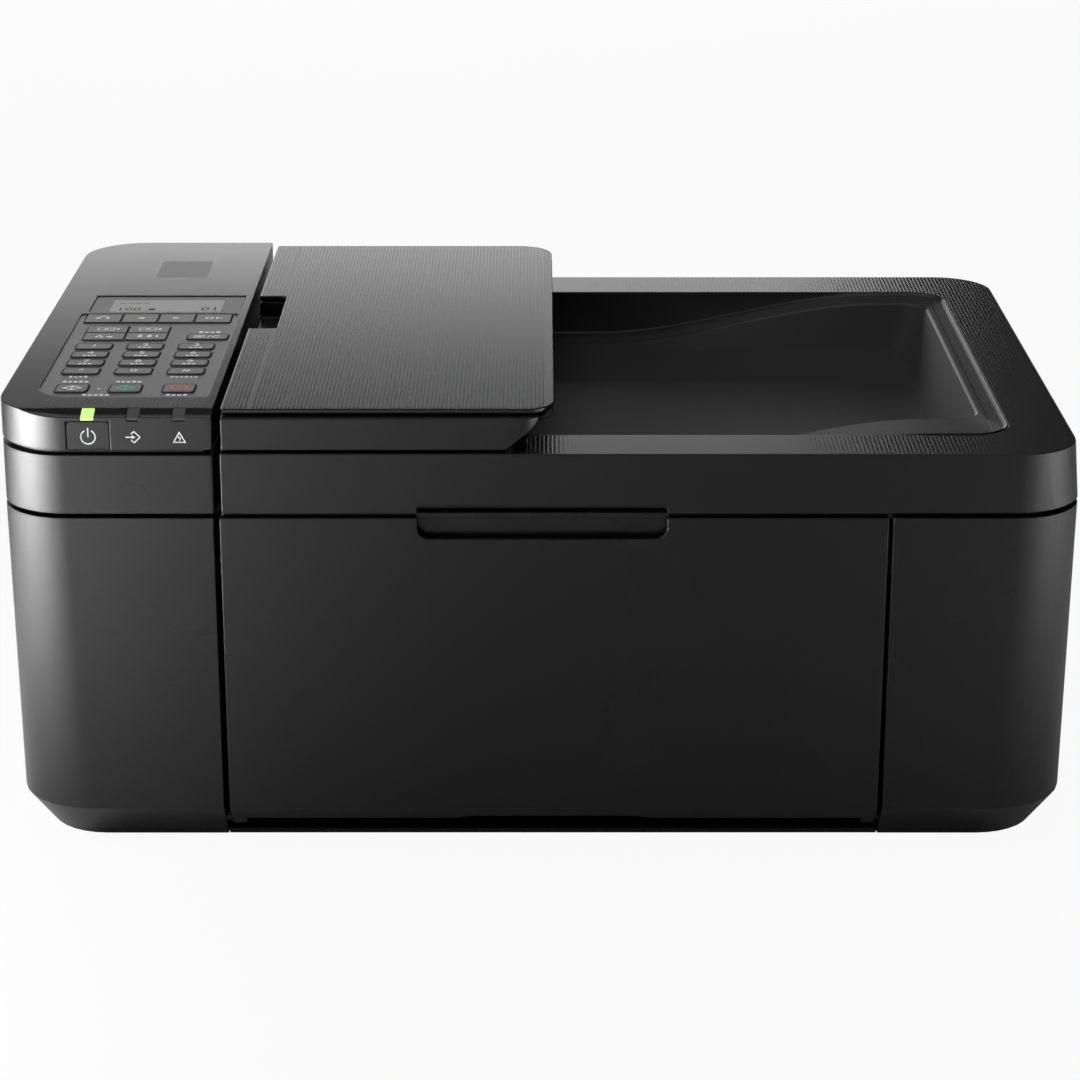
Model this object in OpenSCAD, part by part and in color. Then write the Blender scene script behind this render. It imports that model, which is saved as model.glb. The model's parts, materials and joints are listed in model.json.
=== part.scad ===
// Compact inkjet printer with a flatbed scanner, a document feeder and a key panel.
// X runs to the right, Y to the back and Z up. The origin is the bottom centre.

/* [Overall] */
// Width of the whole printer
width = 435; // [420:1:540]
// Depth of the whole printer
depth = 295; // [285:1:370]
// Height of the whole printer
height = 189; // [184:1:240]
// Wall thickness of the plastic shells
wall = 2.4; // [2:0.1:3]
// Plan radius of the outer corners
corner_r = 28; // [20:1:32]

/* [Case] */
// Height of the crease where the bottom chamfer starts
crease_z = 19; // [16:1:22]
// Distance from the top of the case down from the top of the printer
upper_h = 43.5; // [40:0.5:48]
// Seam between the case and the parts above it
seam = 1.5; // [1:0.1:2]
// Width of the key panel and of the band under it
panel_w = 87; // [86:0.5:100]
// Height of the key panel at the front
panel_h = 15.3; // [14:0.1:17]
// Width of the front cover
cover_w = 266.9; // [262:0.1:300]
// Centre of the front cover, from the middle of the printer
cover_x = 4.85; // [3:0.05:6]
// Width of the finger notch over the front cover
notch_w = 100; // [80:1:120]

/* [Paper path] */
// Width of the widest sheet
sheet_w = 216; // [210:1:216]
// Radius of the feed roller
feed_r = 6; // [5:0.5:7]
// Radius of the exit roller
exit_r = 5; // [4:0.5:6]
// Radius of the pick roller
pick_r = 11; // [9:0.5:12]
// Radius of the carriage guide rod
rod_r = 4; // [3:0.25:5]
// Width of the print carriage
carriage_w = 58; // [50:1:62]

/* [Scanner] */
// Length of the flatbed glass
glass_l = 300; // [297:1:302]
// Width of the flatbed glass
glass_w = 220; // [216:1:224]
// Thickness of the glass
glass_t = 2; // [1.8:0.1:2.4]
// Height of the document cover at its rim
lid_h = 24.7; // [23:0.1:27]

/* [Keys] */
// Width of a number key
key_w = 15.2; // [13:0.1:16.4]
// Depth of a number key
key_d = 9.3; // [8:0.1:10.4]
// Distance between number key columns
key_pitch_x = 21.7; // [18.5:0.1:21.9]
// Distance between number key rows
key_pitch_y = 13.1; // [12:0.1:13.3]
// Gap round each key
key_gap = 0.4; // [0.3:0.05:0.6]
// Corner radius of the keys
key_r = 1.6; // [0.6:0.1:2]
// Travel of a key
key_travel = 0.8; // [0.5:0.1:1]

/* [Fits] */
// Radial running clearance of shafts and hinge pins
run_gap = 0.05; // [0.02:0.01:0.1]
// Gap between bodies that move past each other
move_gap = 0.4; // [0.35:0.05:0.6]

/* [Hidden] */
number_names = [for (i = [1:12]) str("number_key_", i)];
$fn = 48;
soft_fn = 32;
sliver = 0.02;
eps = 1;

// Heights of the main levels
foot_z = 1;
foot_r = 7;
foot_pocket = 1.2;
floor_z = foot_z + 2 * wall;
case_z = height - upper_h;
upper_z = case_z + seam;
panel_z = height - panel_h;
band_z = panel_z - 2.1;
lid_z = upper_z + 0.3;
lid_top = lid_z + lid_h;
tray_top = height - 0.3;
tray_z = tray_top - 2.2;

// Plan edges
side_x = width / 2;
front_y = -depth / 2;
rear_y = depth / 2;
panel_x = panel_w - side_x;
lid_x = panel_x + 2.9;
cover_x0 = cover_x - cover_w / 2;
cover_x1 = cover_x + cover_w / 2;
bay_x0 = cover_x0 - 2.3;
bay_x1 = cover_x1 + 1.8;
bay_y = front_y + 40;
cheek_t = 2.2;

// Case outline at the foot, at the crease and at the top: height, side inset, end inset, radius
case_levels = [[foot_z, 10, 17, corner_r - 2], [crease_z, 0.5, 1.5, corner_r + 4],
    [case_z, 0, 0, corner_r]];
crease_y = front_y + case_levels[1][2];
foot_y = front_y + case_levels[0][2];

// Front cover hinge
cover_t = 2.8;
cover_pin_y = front_y + 11;
cover_pin_z = foot_z + cover_pin_y - front_y;
cover_pin_r = 2;
cover_foot_z = 11.8;
cover_foot_y = crease_y + (crease_z - cover_foot_z) * (foot_y - crease_y) / (crease_z - foot_z);

// Finger notch
notch_foot_z = case_z - 9.1;
notch_top_z = upper_z + 3.3;
inset_y = front_y + 5.5;

// Scanner
tub_x0 = lid_x + 1.6;
tub_x1 = side_x - 5.5;
tub_y = rear_y - 11.5;
tub_z = upper_z - 29;
deck_z0 = upper_z - 3;
deck_z1 = upper_z - 0.3;
glass_x0 = lid_x + 26.6;
glass_x1 = glass_x0 + glass_l;
strip_x0 = lid_x + 7.6;
strip_x1 = lid_x + 20.6;
strip_y = 108;
scan_bar_w = 16;
scan_home = (strip_x0 + strip_x1) / 2;
scan_z = tub_z + 8;

// Document cover hinge
lid_pin_y = rear_y - 5;
lid_pin_z = upper_z + 3.5;
lid_pin_r = 2.5;
lid_hinges = [lid_x + 37, side_x - 67];
ear_w = 10;

// Output recess in the document cover
recess_x1 = side_x - 27;
recess_y0 = front_y + 27;
recess_y1 = rear_y - 31;
recess_z = lid_z + 4.3;
ledge_rise = lid_top - recess_z - 1.2;
ledge_x0 = cover_x + 22;
ledge_x1 = side_x - 59;
ledge_rear = 15;
ledge_right = 7;
ledge_front = 24;

function smooth(t) = t <= 0 ? 0 : t >= 1 ? 1 : t * t * (3 - 2 * t);
function ledge_height(x) = recess_z + ledge_rise * smooth((x - ledge_x0) / (ledge_x1 - ledge_x0));
ledge_outline = concat([[recess_x1 + eps, recess_z - 0.5], [ledge_x0 + 6, recess_z - 0.5]],
    [for (x = [ledge_x0 + 6:12:ledge_x1]) [x, ledge_height(x)]],
    [[recess_x1 + eps, ledge_height(ledge_x1)]]);
adf_bay = [lid_x + 3.1, lid_x + 109.6, -strip_y - 10, strip_y + 10];

// Document feeder
adf_x1 = 2;
adf_z0 = lid_top + 0.6;
adf_z1 = tray_z - 0.6;
adf_pin_x = -9;
adf_pin_z = adf_z0 + 8.4;
adf_pin_r = 1.5;
adf_bed_z = adf_z0 + 6;
tray_x1 = adf_x1 + 2.8;
tray_pin_r = 1.5;
tray_lug_r = tray_pin_r + 1;
tray_pin_x = tray_x1 - tray_lug_r - move_gap;
tray_pin_z = tray_z - tray_lug_r - move_gap;
tray_room = norm([tray_lug_r, tray_z - tray_pin_z]) + move_gap;
tray_arm_y = strip_y + 16;
roller_x = lid_x + 15.6;
roller_z = lid_z + 15.5;

// Paper path inside
shaft_r = 3;
frame_x0 = bay_x0 + 3;
frame_x1 = side_x - 13;
frame_t = 1.5;
feed_at = [30, 62];
exit_at = [-46, 60];
pick_at = [64, 38];
rod_at = [14, 76];
deck_top = 12.5;
out_z = 48;
carriage_x = frame_x1 - carriage_w / 2 - 10;
motor_at = [frame_x0 - 22, 17];
belt_r = 5;
belt_z = tub_z - 19;
idler_x = frame_x1 - 9;
guide_x = sheet_w / 2 + 0.6;
turn_r = 30;
turn_y = rear_y - 79;
turn_z = deck_top + turn_r;

// Keys
number_x0 = panel_x - 59.9;
number_y0 = front_y + 101.6;
key_top = height;
plate_t = 1.6;
plate_top = height - 0.4;
plate_box = [panel_x - 73, panel_x - 3.5, front_y + 23, front_y + 156.9];
key_skirt = 3.4;
well_z = plate_top - key_skirt - key_travel - 1.8;

/* ---- helpers ---- */

module block(x, y, z) {
    translate([x[0], y[0], z[0]]) cube([x[1] - x[0], y[1] - y[0], z[1] - z[0]]);
}

module rod_x(r, x, y, z) {
    translate([x[0], y, z]) rotate([0, 90, 0]) cylinder(r = r, h = x[1] - x[0]);
}

module rod_y(r, x, y, z) {
    translate([x, y[0], z]) rotate([-90, 0, 0]) cylinder(r = r, h = y[1] - y[0]);
}

// Rectangle with its own radius at each corner: front left, front right, rear right, rear left
module rounded(x, y, r) {
    corners = [[x[0], y[0], 1, 1], [x[1], y[0], -1, 1], [x[1], y[1], -1, -1], [x[0], y[1], 1, -1]];
    difference() {
        translate([x[0], y[0]]) square([x[1] - x[0], y[1] - y[0]]);
        for (i = [0:3]) if (r[i] > 0) {
            c = corners[i];
            translate([c[0], c[1]]) scale([c[2], c[3]]) difference() {
                translate([-eps, -eps]) square(r[i] + eps);
                translate([r[i], r[i]]) circle(r[i]);
            }
        }
    }
}

module plate(x, y, z, r) {
    translate([0, 0, z[0]]) linear_extrude(z[1] - z[0]) rounded(x, y, r);
}

// Extrudes a YZ outline along X
module along_x(x, points) {
    translate([x[0], 0, 0]) rotate([90, 0, 90]) linear_extrude(x[1] - x[0]) polygon(points);
}

// Extrudes an XZ outline along Y
module along_y(y, points) {
    translate([0, y[1], 0]) rotate([90, 0, 0]) linear_extrude(y[1] - y[0]) polygon(points);
}

// One thin slice of the case outline, moved in by a margin
module case_slice(level, margin, z) {
    x = side_x - level[1] - margin;
    y = rear_y - level[2] - margin;
    r = level[3] - margin;
    translate([0, 0, z]) linear_extrude(sliver) rounded([-x, x], [-y, y], [r, r, r, r],
        $fn = soft_fn);
}

module case_solid(margin, z_foot, z_top) {
    hull() {
        case_slice(case_levels[0], margin, z_foot);
        case_slice(case_levels[1], margin, crease_z);
        case_slice(case_levels[2], margin, z_top - sliver);
    }
}

// Outline of the front of the case in YZ, moved in by a margin, closed at a given depth
function front_outline(margin, z0, z1, y_in) = [
    [y_in, z0], [foot_y + margin + (z0 - foot_z) * (crease_y - foot_y) / (crease_z - foot_z), z0],
    [crease_y + margin, crease_z], [front_y + margin, z1], [y_in, z1]];

module roller(at, r, x, sleeves) {
    rod_x(shaft_r, x, at[0], at[1]);
    for (s = sleeves) rod_x(r, s, at[0], at[1]);
}

/* ---- case and base ---- */

rear_door = [cover_x - 105, cover_x + 105];
rear_door_z = [26, 100];
rear_pin_z = rear_door_z[0] + 4;
rear_pin_y = rear_y - 5;
rear_pin_r = 2;
lug_t = 4;
lug_gap = 1;
rear_lugs = [rear_door[0] - lug_t - lug_gap, rear_door[1] + lug_gap];
inlet_at = [-side_x + corner_r + 26, 27];
port_x = -side_x + corner_r + 7;
port_w = 50;
port_z = 62;

module main_case() {
    color("#1c1d1f") {
        difference() {
            union() {
                difference() {
                    case_solid(0, foot_z, case_z);
                    case_solid(wall, floor_z, case_z + eps);
                    block([bay_x0, bay_x1], [front_y - eps, bay_y], [foot_z - eps, case_z + eps]);
                }
                // Cheeks of the front bay, cut back under the scanner
                for (x = [bay_x0 - cheek_t, bay_x1]) difference() {
                    along_x([x, x + cheek_t], front_outline(0.4, floor_z - 0.5,
                        deck_z0 - 0.3, bay_y + 10));
                    block([x - eps, x + cheek_t + eps], [-tub_y - move_gap, bay_y + 20],
                        [tub_z - move_gap, case_z]);
                }
                for (x = rear_lugs) block([x, x + lug_t], [rear_pin_y - 4, rear_y - 3.2],
                    [rear_pin_z - 5, rear_pin_z + 5]);
            }
            // Bearings of the front cover and of the rear cover
            for (x = [bay_x0 - cheek_t, bay_x1]) rod_x(cover_pin_r + run_gap,
                [x - run_gap, x + cheek_t + run_gap], cover_pin_y, cover_pin_z);
            for (x = rear_lugs) rod_x(rear_pin_r + run_gap,
                [x - lug_gap - run_gap, x + lug_t + lug_gap + run_gap], rear_pin_y, rear_pin_z);
            feet_at(foot_r + run_gap, foot_z + foot_pocket);
            block(rear_door, [rear_y - 12, rear_y + eps], rear_door_z);
            block([inlet_at[0] - 12, inlet_at[0] + 12], [rear_y - 12, rear_y + eps],
                [inlet_at[1] - 9, inlet_at[1] + 9]);
            block([port_x - 0.4, port_x + port_w + 0.4], [rear_y - 12, rear_y + eps],
                [port_z - 8, port_z + 8]);
        }
    }
}

// Four round pads on the desk, up to a given height
module feet_at(r, h) {
    for (x = [-1, 1], y = [-1, 1]) translate([x * (side_x - 32), y * (rear_y - 40), 0])
        cylinder(r = r, h = h);
}

module base_pan() {
    in_x = side_x - 26;
    in_y = rear_y - 26;
    color("#161718") {
        // Front lip between the two legs of the case
        along_x([bay_x0 + move_gap, bay_x1 - move_gap], [[foot_y + 0.5, foot_z], [foot_y - 3.5,
            foot_z + 3.8], [bay_y - 1, foot_z + 3.8], [bay_y - 1, foot_z]]);
        // Floor that lies on the bottom of the case
        plate([-in_x, in_x], [bay_y + 11, in_y], [floor_z + run_gap, floor_z + wall],
            [6, 6, 16, 16]);
        // Paper deck with ribs under it
        block([frame_x0 + 4, bay_x1 - 4], [foot_y + 10, 100], [deck_top - 2, deck_top]);
        for (x = [frame_x0 + 4, cover_x - 40, cover_x + 38, bay_x1 - 6]) {
            block([x, x + 2], [foot_y + 10, bay_y - 1], [foot_z + 3, deck_top - 1]);
            block([x, x + 2], [bay_y - 2, 100], [floor_z + run_gap, deck_top - 1]);
        }
        // Curved paper turn at the back: ribs with a round inner edge
        for (i = [0:6]) along_x([rear_door[0] + 6 + i * 32, rear_door[0] + 8 + i * 32],
            concat([[turn_y + turn_r + 6, turn_z + turn_r], [turn_y + turn_r + 6, deck_top - 1],
            [turn_y, deck_top - 1]], [for (a = [-75:15:60])
            [turn_y + turn_r * cos(a), turn_z + turn_r * sin(a)]]));
    }
}

module feet() {
    color("#2a2a2a") feet_at(foot_r, foot_z + foot_pocket);
}

module front_cover() {
    notch_r = 5;
    arm = 6;
    arm_x = [cover_x0 + 0.2, cover_x1 - 0.2 - arm];
    t = cover_t;
    color("#202123") {
        difference() {
            along_x([cover_x0, cover_x1], [[front_y, case_z - 0.2], [crease_y, crease_z],
                [cover_foot_y, cover_foot_z], [cover_foot_y + t, cover_foot_z + 0.6],
                [crease_y + t, crease_z + 1], [front_y + t, case_z - 0.2]]);
            translate([0, front_y + 10, 0]) rotate([90, 0, 0]) linear_extrude(20)
                rounded([-notch_w / 2, notch_w / 2], [notch_foot_z, case_z + 10],
                    [notch_r, notch_r, 0, 0]);
            along_y([front_y - eps, cover_pin_y + eps], [[cover_x - 42, cover_foot_z - 1],
                [cover_x - 34, cover_foot_z + 1.6], [cover_x + 34, cover_foot_z + 1.6],
                [cover_x + 42, cover_foot_z - 1]]);
        }
        // Stiffening lips inside and the two hinge arms with their pins
        for (x = [cover_x0 + 12, cover_x1 - 14]) along_x([x, x + 2],
            [[front_y + t - 0.5, case_z - 12], [crease_y + t - 0.5, crease_z + 8],
            [crease_y + t + 4, crease_z + 8], [front_y + t + 4, case_z - 12]]);
        for (x = arm_x) along_x([x, x + arm], [[crease_y + 1.5, crease_z + 2],
            [cover_foot_y + 1, cover_foot_z + 0.4], [cover_pin_y - 1.5, cover_pin_z - 3],
            [cover_pin_y + 1.5, cover_pin_z - 3], [cover_pin_y + 3, cover_pin_z - 1],
            [cover_pin_y + 2.5, cover_pin_z + 3], [crease_y + 5, crease_z + 4]]);
        rod_x(cover_pin_r, [bay_x0 - cheek_t, arm_x[0] + 1], cover_pin_y, cover_pin_z);
        rod_x(cover_pin_r, [arm_x[1] + arm - 1, bay_x1 + cheek_t], cover_pin_y, cover_pin_z);
        // Track of the front guide
        for (x = [-9, 7]) block([cover_x + x, cover_x + x + 2],
            [front_y + t - 0.6, front_y + t + 2.5], [66, 118]);
    }
}

module front_guide() {
    y0 = front_y + cover_t + 2.9;
    color("#2b2c2e") {
        block([cover_x - 16, cover_x + 16], [y0, y0 + 2], [70, 84]);
        block([cover_x - 6.6, cover_x + 6.6], [y0 - 1.4, y0 + 0.5], [70, 84]);
        block([cover_x - 13, cover_x + 13], [y0 + 1, y0 + 8], [70, 72.5]);
    }
}

/* ---- paper path ---- */

module output_tray() {
    x = [cover_x - sheet_w / 2 - 4, cover_x + sheet_w / 2 + 4];
    color("#1f2022") difference() {
        union() {
            block(x, [front_y + 8, exit_at[0] - 8], [out_z, out_z + 2.5]);
            for (e = x) block([e - 1.2, e + 1.2], [front_y + 8, exit_at[0] - 8],
                [out_z - 6, out_z + 6]);
            for (e = [frame_x0 + 1.5, x[1] - 0.5]) block([e, e == x[1] - 0.5 ? bay_x1 - 0.3 : x[0]],
                [exit_at[0] - 30, exit_at[0] - 12], [out_z - 3, out_z]);
        }
        block([cover_x - 36, cover_x + 36], [front_y, front_y + 18], [out_z - 8, out_z + 8]);
    }
}

module output_extension() {
    z = out_z - move_gap;
    color("#26272a") {
        plate([cover_x - 32, cover_x + 32], [front_y + 8.5, front_y + 84], [z - 2.4, z],
            [8, 8, 0, 0]);
        along_x([cover_x - 30, cover_x + 30], [[front_y + 8.5, z - 1], [front_y + 14, z - 1],
            [front_y + 14, out_z + 2], [front_y + 8.5, out_z + 6]]);
        for (x = [-26, 0, 24]) block([cover_x + x, cover_x + x + 2],
            [front_y + 20, front_y + 80], [z - 4, z - 2]);
    }
}

module paper_guide(side) {
    x = cover_x + side * guide_x;
    color("#2b2c2e") {
        block([min(x, x + side * 3), max(x, x + side * 3)], [-112, -40],
            [deck_top + move_gap, deck_top + 18]);
        block([min(x, x - side * 22), max(x, x - side * 22)], [-92, -62],
            [deck_top + move_gap, deck_top + 1.8]);
    }
}

module pick_roller() {
    sleeve = 26;
    color("#3a3a3c") difference() {
        roller(pick_at, pick_r, [frame_x0 + 0.4, bay_x1 + 8],
            [[cover_x - sleeve / 2, cover_x + sleeve / 2]]);
        for (i = [0:5]) translate([0, pick_at[0], pick_at[1]]) rotate([i * 60, 0, 0])
            rod_x(1.2, [cover_x - sleeve, cover_x + sleeve], 0, pick_r - 3.5);
    }
}

module feed_roller() {
    n = 5;
    span = sheet_w / n;
    color("#8b8d90") roller(feed_at, feed_r, [frame_x0 - 2.2, frame_x1 + 2.2],
        [for (i = [0:n - 1]) [cover_x - sheet_w / 2 + i * span + 4,
            cover_x - sheet_w / 2 + (i + 1) * span - 4]]);
}

module exit_roller() {
    n = 6;
    span = sheet_w / n;
    color("#3a3a3c") roller(exit_at, exit_r, [frame_x0 - 2.2, frame_x1 + 2.2],
        [for (i = [0:n - 1]) [cover_x - sheet_w / 2 + (i + 0.3) * span,
            cover_x - sheet_w / 2 + (i + 0.7) * span]]);
}

module chassis_frame() {
    ends = [[frame_x0 - frame_t, frame_x0], [frame_x1, frame_x1 + frame_t]];
    color("#a9acb0") {
        difference() {
            union() for (e = ends) block(e, [exit_at[0] - 12, pick_at[0] + 18],
                [floor_z + wall, belt_z - 3]);
            for (at = [feed_at, exit_at])
                rod_x(shaft_r + run_gap, [frame_x0 - 5, frame_x1 + 5], at[0], at[1]);
        }
        block([frame_x0 - frame_t, frame_x1 + frame_t], [feed_at[0] - 3, feed_at[0] - 1.5],
            [feed_at[1] + 10, belt_z - 3]);
        rod_x(rod_r, [frame_x0 - frame_t, frame_x1 + frame_t], rod_at[0], rod_at[1]);
        // Idler of the drive belt on its bracket
        translate([idler_x, motor_at[1], belt_z - 3.5]) {
            cylinder(r = belt_r - move_gap, h = 9);
            translate([-3, -3, 0]) cube([6, feed_at[0] - motor_at[1] + 1, 1.5]);
        }
    }
}

module carriage() {
    x = [carriage_x - carriage_w / 2, carriage_x + carriage_w / 2];
    mid = (x[0] + x[1]) / 2;
    y = [exit_at[0] + 9, feed_at[0] - 8];
    z = [exit_at[1] + 8, belt_z - 6];
    run = rod_at[0] - 7;
    color("#1b1b1d") {
        difference() {
            block(x, y, z);
            for (s = [[x[0] + 2, mid - 1], [mid + 1, x[1] - 2]])
                block(s, [y[0] - eps, run - 3], [z[0] + 3, z[1] + eps]);
            rod_x(rod_r + run_gap, [x[0] - eps, x[1] + eps], rod_at[0], rod_at[1]);
        }
        // Belt clip
        for (d = [-3.2, 1]) block([mid - 8, mid + 8],
            [motor_at[1] - belt_r + d, motor_at[1] - belt_r + d + 2.2], [z[1] - 1, belt_z + 4]);
    }
}

module ink_cartridges() {
    x0 = carriage_x - carriage_w / 2;
    mid = carriage_w / 2;
    w = mid - 4;
    color("#35363a") for (x = [x0 + 2.4, x0 + mid + 1.4]) {
        block([x, x + w], [exit_at[0] + 9, rod_at[0] - 10.5], [exit_at[1] + 11.2, belt_z - 8]);
        block([x + 3, x + w - 3], [exit_at[0] + 6, exit_at[0] + 10],
            [belt_z - 22, belt_z - 10]);
    }
}

module drive_belt() {
    color("#0f0f10") difference() {
        plate([motor_at[0] - belt_r - 1, idler_x + belt_r + 1],
            [motor_at[1] - belt_r - 1, motor_at[1] + belt_r + 1], [belt_z, belt_z + 5],
            [belt_r + 1, belt_r + 1, belt_r + 1, belt_r + 1] * 0.999);
        plate([motor_at[0] - belt_r, idler_x + belt_r],
            [motor_at[1] - belt_r, motor_at[1] + belt_r], [belt_z - eps, belt_z + 6],
            [belt_r, belt_r, belt_r, belt_r] * 0.999);
    }
}

module carriage_motor() {
    color("#77797c") translate([motor_at[0], motor_at[1], belt_z]) {
        translate([0, 0, -34]) cylinder(r = 14, h = 28);
        translate([0, 0, -34]) cylinder(r = 1.5, h = 41);
        for (s = [-1, 1]) translate([s * 16 - 3, -4, -7.5]) cube([6, 8, 1.5]);
        translate([-18, -9, -7.5]) cube([36, 18, 1.5]);
    }
}

module drive_pulley() {
    color("#c9cbce") translate([motor_at[0], motor_at[1], belt_z]) difference() {
        union() {
            translate([0, 0, -0.5]) cylinder(r = belt_r - move_gap, h = 6);
            translate([0, 0, -1.6]) cylinder(r = belt_r + 2.4, h = 1.2);
        }
        translate([0, 0, -3]) cylinder(r = 1.5 + run_gap, h = 12);
    }
}

module service_station() {
    x = [carriage_x - carriage_w / 2 + 2, carriage_x + carriage_w / 2 - 2];
    z = exit_at[1] - 8;
    color("#303134") {
        block(x, [exit_at[0] + 9, feed_at[0] - 9], [floor_z + wall + run_gap, z]);
        for (c = [x[0] + 14, x[1] - 14]) difference() {
            block([c - 9, c + 9], [-28, 2], [z - 0.5, z + 5]);
            block([c - 7.5, c + 7.5], [-26.5, 0.5], [z + 1, z + 6]);
        }
    }
}

module rear_cover() {
    g = move_gap;
    x = [rear_door[0] + g, rear_door[1] - g];
    color("#1d1e20") {
        block(x, [rear_y - 4.2, rear_y - 1.8], [rear_door_z[0] + 3 * g, rear_door_z[1] - g]);
        for (i = [0:3]) block([x[0] + 20 + i * 56, x[0] + 22 + i * 56],
            [rear_y - 26, rear_y - 3], [rear_door_z[0] + 14, rear_door_z[1] - 8]);
        for (e = [x[0], x[1] - 8]) block([e, e + 8], [rear_pin_y - 3, rear_y - 4],
            [rear_pin_z - 2.4, rear_pin_z + 3]);
        rod_x(rear_pin_r, [rear_lugs[0], x[0] + 2], rear_pin_y, rear_pin_z);
        rod_x(rear_pin_r, [x[1] - 2, rear_lugs[1] + lug_t], rear_pin_y, rear_pin_z);
        block([cover_x - 14, cover_x + 14], [rear_y - 2, rear_y - 0.6],
            [rear_door_z[1] - 8, rear_door_z[1] - 5]);
    }
}

module power_supply() {
    x = inlet_at[0];
    z = inlet_at[1];
    color("#2c2d30") difference() {
        union() {
            block([x - 26, x + 22], [35, rear_y - corner_r], [floor_z + wall + run_gap, 46]);
            block([x - 11.5, x + 11.5], [rear_y - corner_r - eps, rear_y - 1.5],
                [z - 8.5, z + 8.5]);
        }
        translate([x, rear_y, z]) rotate([90, 0, 0]) linear_extrude(12)
            rounded([-8.5, 8.5], [-4.4, 4.4], [4.3, 4.3, 4.3, 4.3]);
    }
    color("#b08d3c") for (s = [-4.4, 4.4])
        rod_y(1.2, x + s, [rear_y - 13, rear_y - 4], z);
}

module main_board() {
    x = -side_x + 6;
    color("#1d5a35") block([x, x + 1.6], [-90, rear_y - corner_r + 4], [50, 112]);
    color("#3a3b3f") {
        difference() {
            block([port_x, port_x + port_w], [rear_y - 22, rear_y - 2],
                [port_z - 7.6, port_z + 7.6]);
            block([port_x + 3, port_x + 16], [rear_y - 12, rear_y], [port_z - 5.5, port_z + 5.5]);
            for (s = [22, 36]) block([port_x + s, port_x + s + 10], [rear_y - 12, rear_y],
                [port_z - 4, port_z + 4]);
        }
        block([port_x + 6, port_x + 13], [rear_y - 13, rear_y - 4],
            [port_z - 2.5, port_z + 2.5]);
        block([x + 1, port_x + 1], [rear_y - 32, rear_y - 20], [port_z - 5, port_z + 5]);
        for (i = [0:2]) block([x + 1, x + 9], [-70 + i * 40, -48 + i * 40], [66, 90]);
    }
}

/* ---- scanner ---- */

module scanner_frame() {
    w = wall;
    color("#1b1c1e") {
        difference() {
            union() {
                plate([tub_x0, tub_x1], [-tub_y, tub_y], [tub_z, deck_z1], [14, 14, 14, 14]);
                plate([tub_x0 - 3, side_x - 3.4], [front_y + 3.4, tub_y], [deck_z0, deck_z1],
                    [2, corner_r - 3, 18, 2]);
                block([-notch_w / 2 - 8, notch_w / 2 + 8], [inset_y, -tub_y + 3],
                    [notch_foot_z - 12, deck_z1]);
            }
            plate([tub_x0 + w, tub_x1 - w], [-tub_y + w, tub_y - w], [tub_z + w, deck_z0],
                [12, 12, 12, 12]);
            block([glass_x0, glass_x1], [-glass_w / 2, glass_w / 2],
                [deck_z0 - eps, deck_z1 + eps]);
            block([strip_x0, strip_x1], [-strip_y, strip_y], [deck_z0 - eps, deck_z1 + eps]);
            block([-notch_w / 2 - 7, notch_w / 2 + 7], [inset_y + 2, -tub_y + 0.5],
                [notch_foot_z - 13, deck_z0]);
        }
        // Ledges that carry the glass and the rail of the scan bar
        for (y = [-1, 1]) block([tub_x0 + 1, tub_x1 - 1],
            [y * (glass_w / 2 + 1) - 2, y * (glass_w / 2 + 1) + 2], [deck_z0 - 2.5, deck_z0 - 0.2]);
        block([tub_x0 + 1, tub_x1 - 1], [-3, 3], [tub_z + 1, scan_z - 1]);
        // Hinge ears of the document cover
        for (x = lid_hinges) difference() {
            union() {
                rod_x(4.4, [x - ear_w / 2, x + ear_w / 2], lid_pin_y, lid_pin_z);
                block([x - ear_w / 2, x + ear_w / 2], [tub_y - 1, lid_pin_y + 1.5],
                    [tub_z + 4, lid_pin_z]);
            }
            rod_x(lid_pin_r + run_gap, [x - ear_w, x + ear_w], lid_pin_y, lid_pin_z);
        }
        // Band on the left that carries the key panel
        difference() {
            plate([-side_x, panel_x], [front_y, rear_y], [upper_z, band_z], [corner_r, 1, 1,
                corner_r]);
            plate([-side_x + w, panel_x - w], [front_y + w, rear_y - w], [upper_z - eps,
                band_z - w], [corner_r - w, 0, 0, corner_r - w]);
        }
        plate([-side_x + 3, panel_x - 3], [front_y + 3, rear_y - 3], [band_z - 0.1, panel_z],
            [corner_r - 3, 1, 1, corner_r - 3]);
        block([panel_x - w, tub_x0 + 1], [-tub_y, tub_y], [deck_z0, upper_z + 0.1]);
    }
}

module platen_glass() {
    color("#9fc4c8") {
        block([glass_x0 + 0.1, glass_x1 - 0.1], [-glass_w / 2 + 0.1, glass_w / 2 - 0.1],
            [deck_z1 - glass_t, deck_z1]);
        block([strip_x0 + 0.1, strip_x1 - 0.1], [-strip_y + 0.1, strip_y - 0.1],
            [deck_z1 - glass_t, deck_z1]);
    }
}

module scan_bar() {
    x = [scan_home - scan_bar_w / 2, scan_home + scan_bar_w / 2];
    color("#1a1a1c") difference() {
        block(x, [-glass_w / 2 + 3, glass_w / 2 - 3], [scan_z - 4.5, deck_z0 - 2.8]);
        block([x[0] - eps, x[1] + eps], [-3 - move_gap, 3 + move_gap], [tub_z, scan_z - 1 + move_gap]);
    }
    color("#dfe3e2") block([scan_home - 2, scan_home + 2], [-strip_y + 2, strip_y - 2],
        [deck_z0 - 3, deck_z0 - 2.2]);
}

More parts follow.
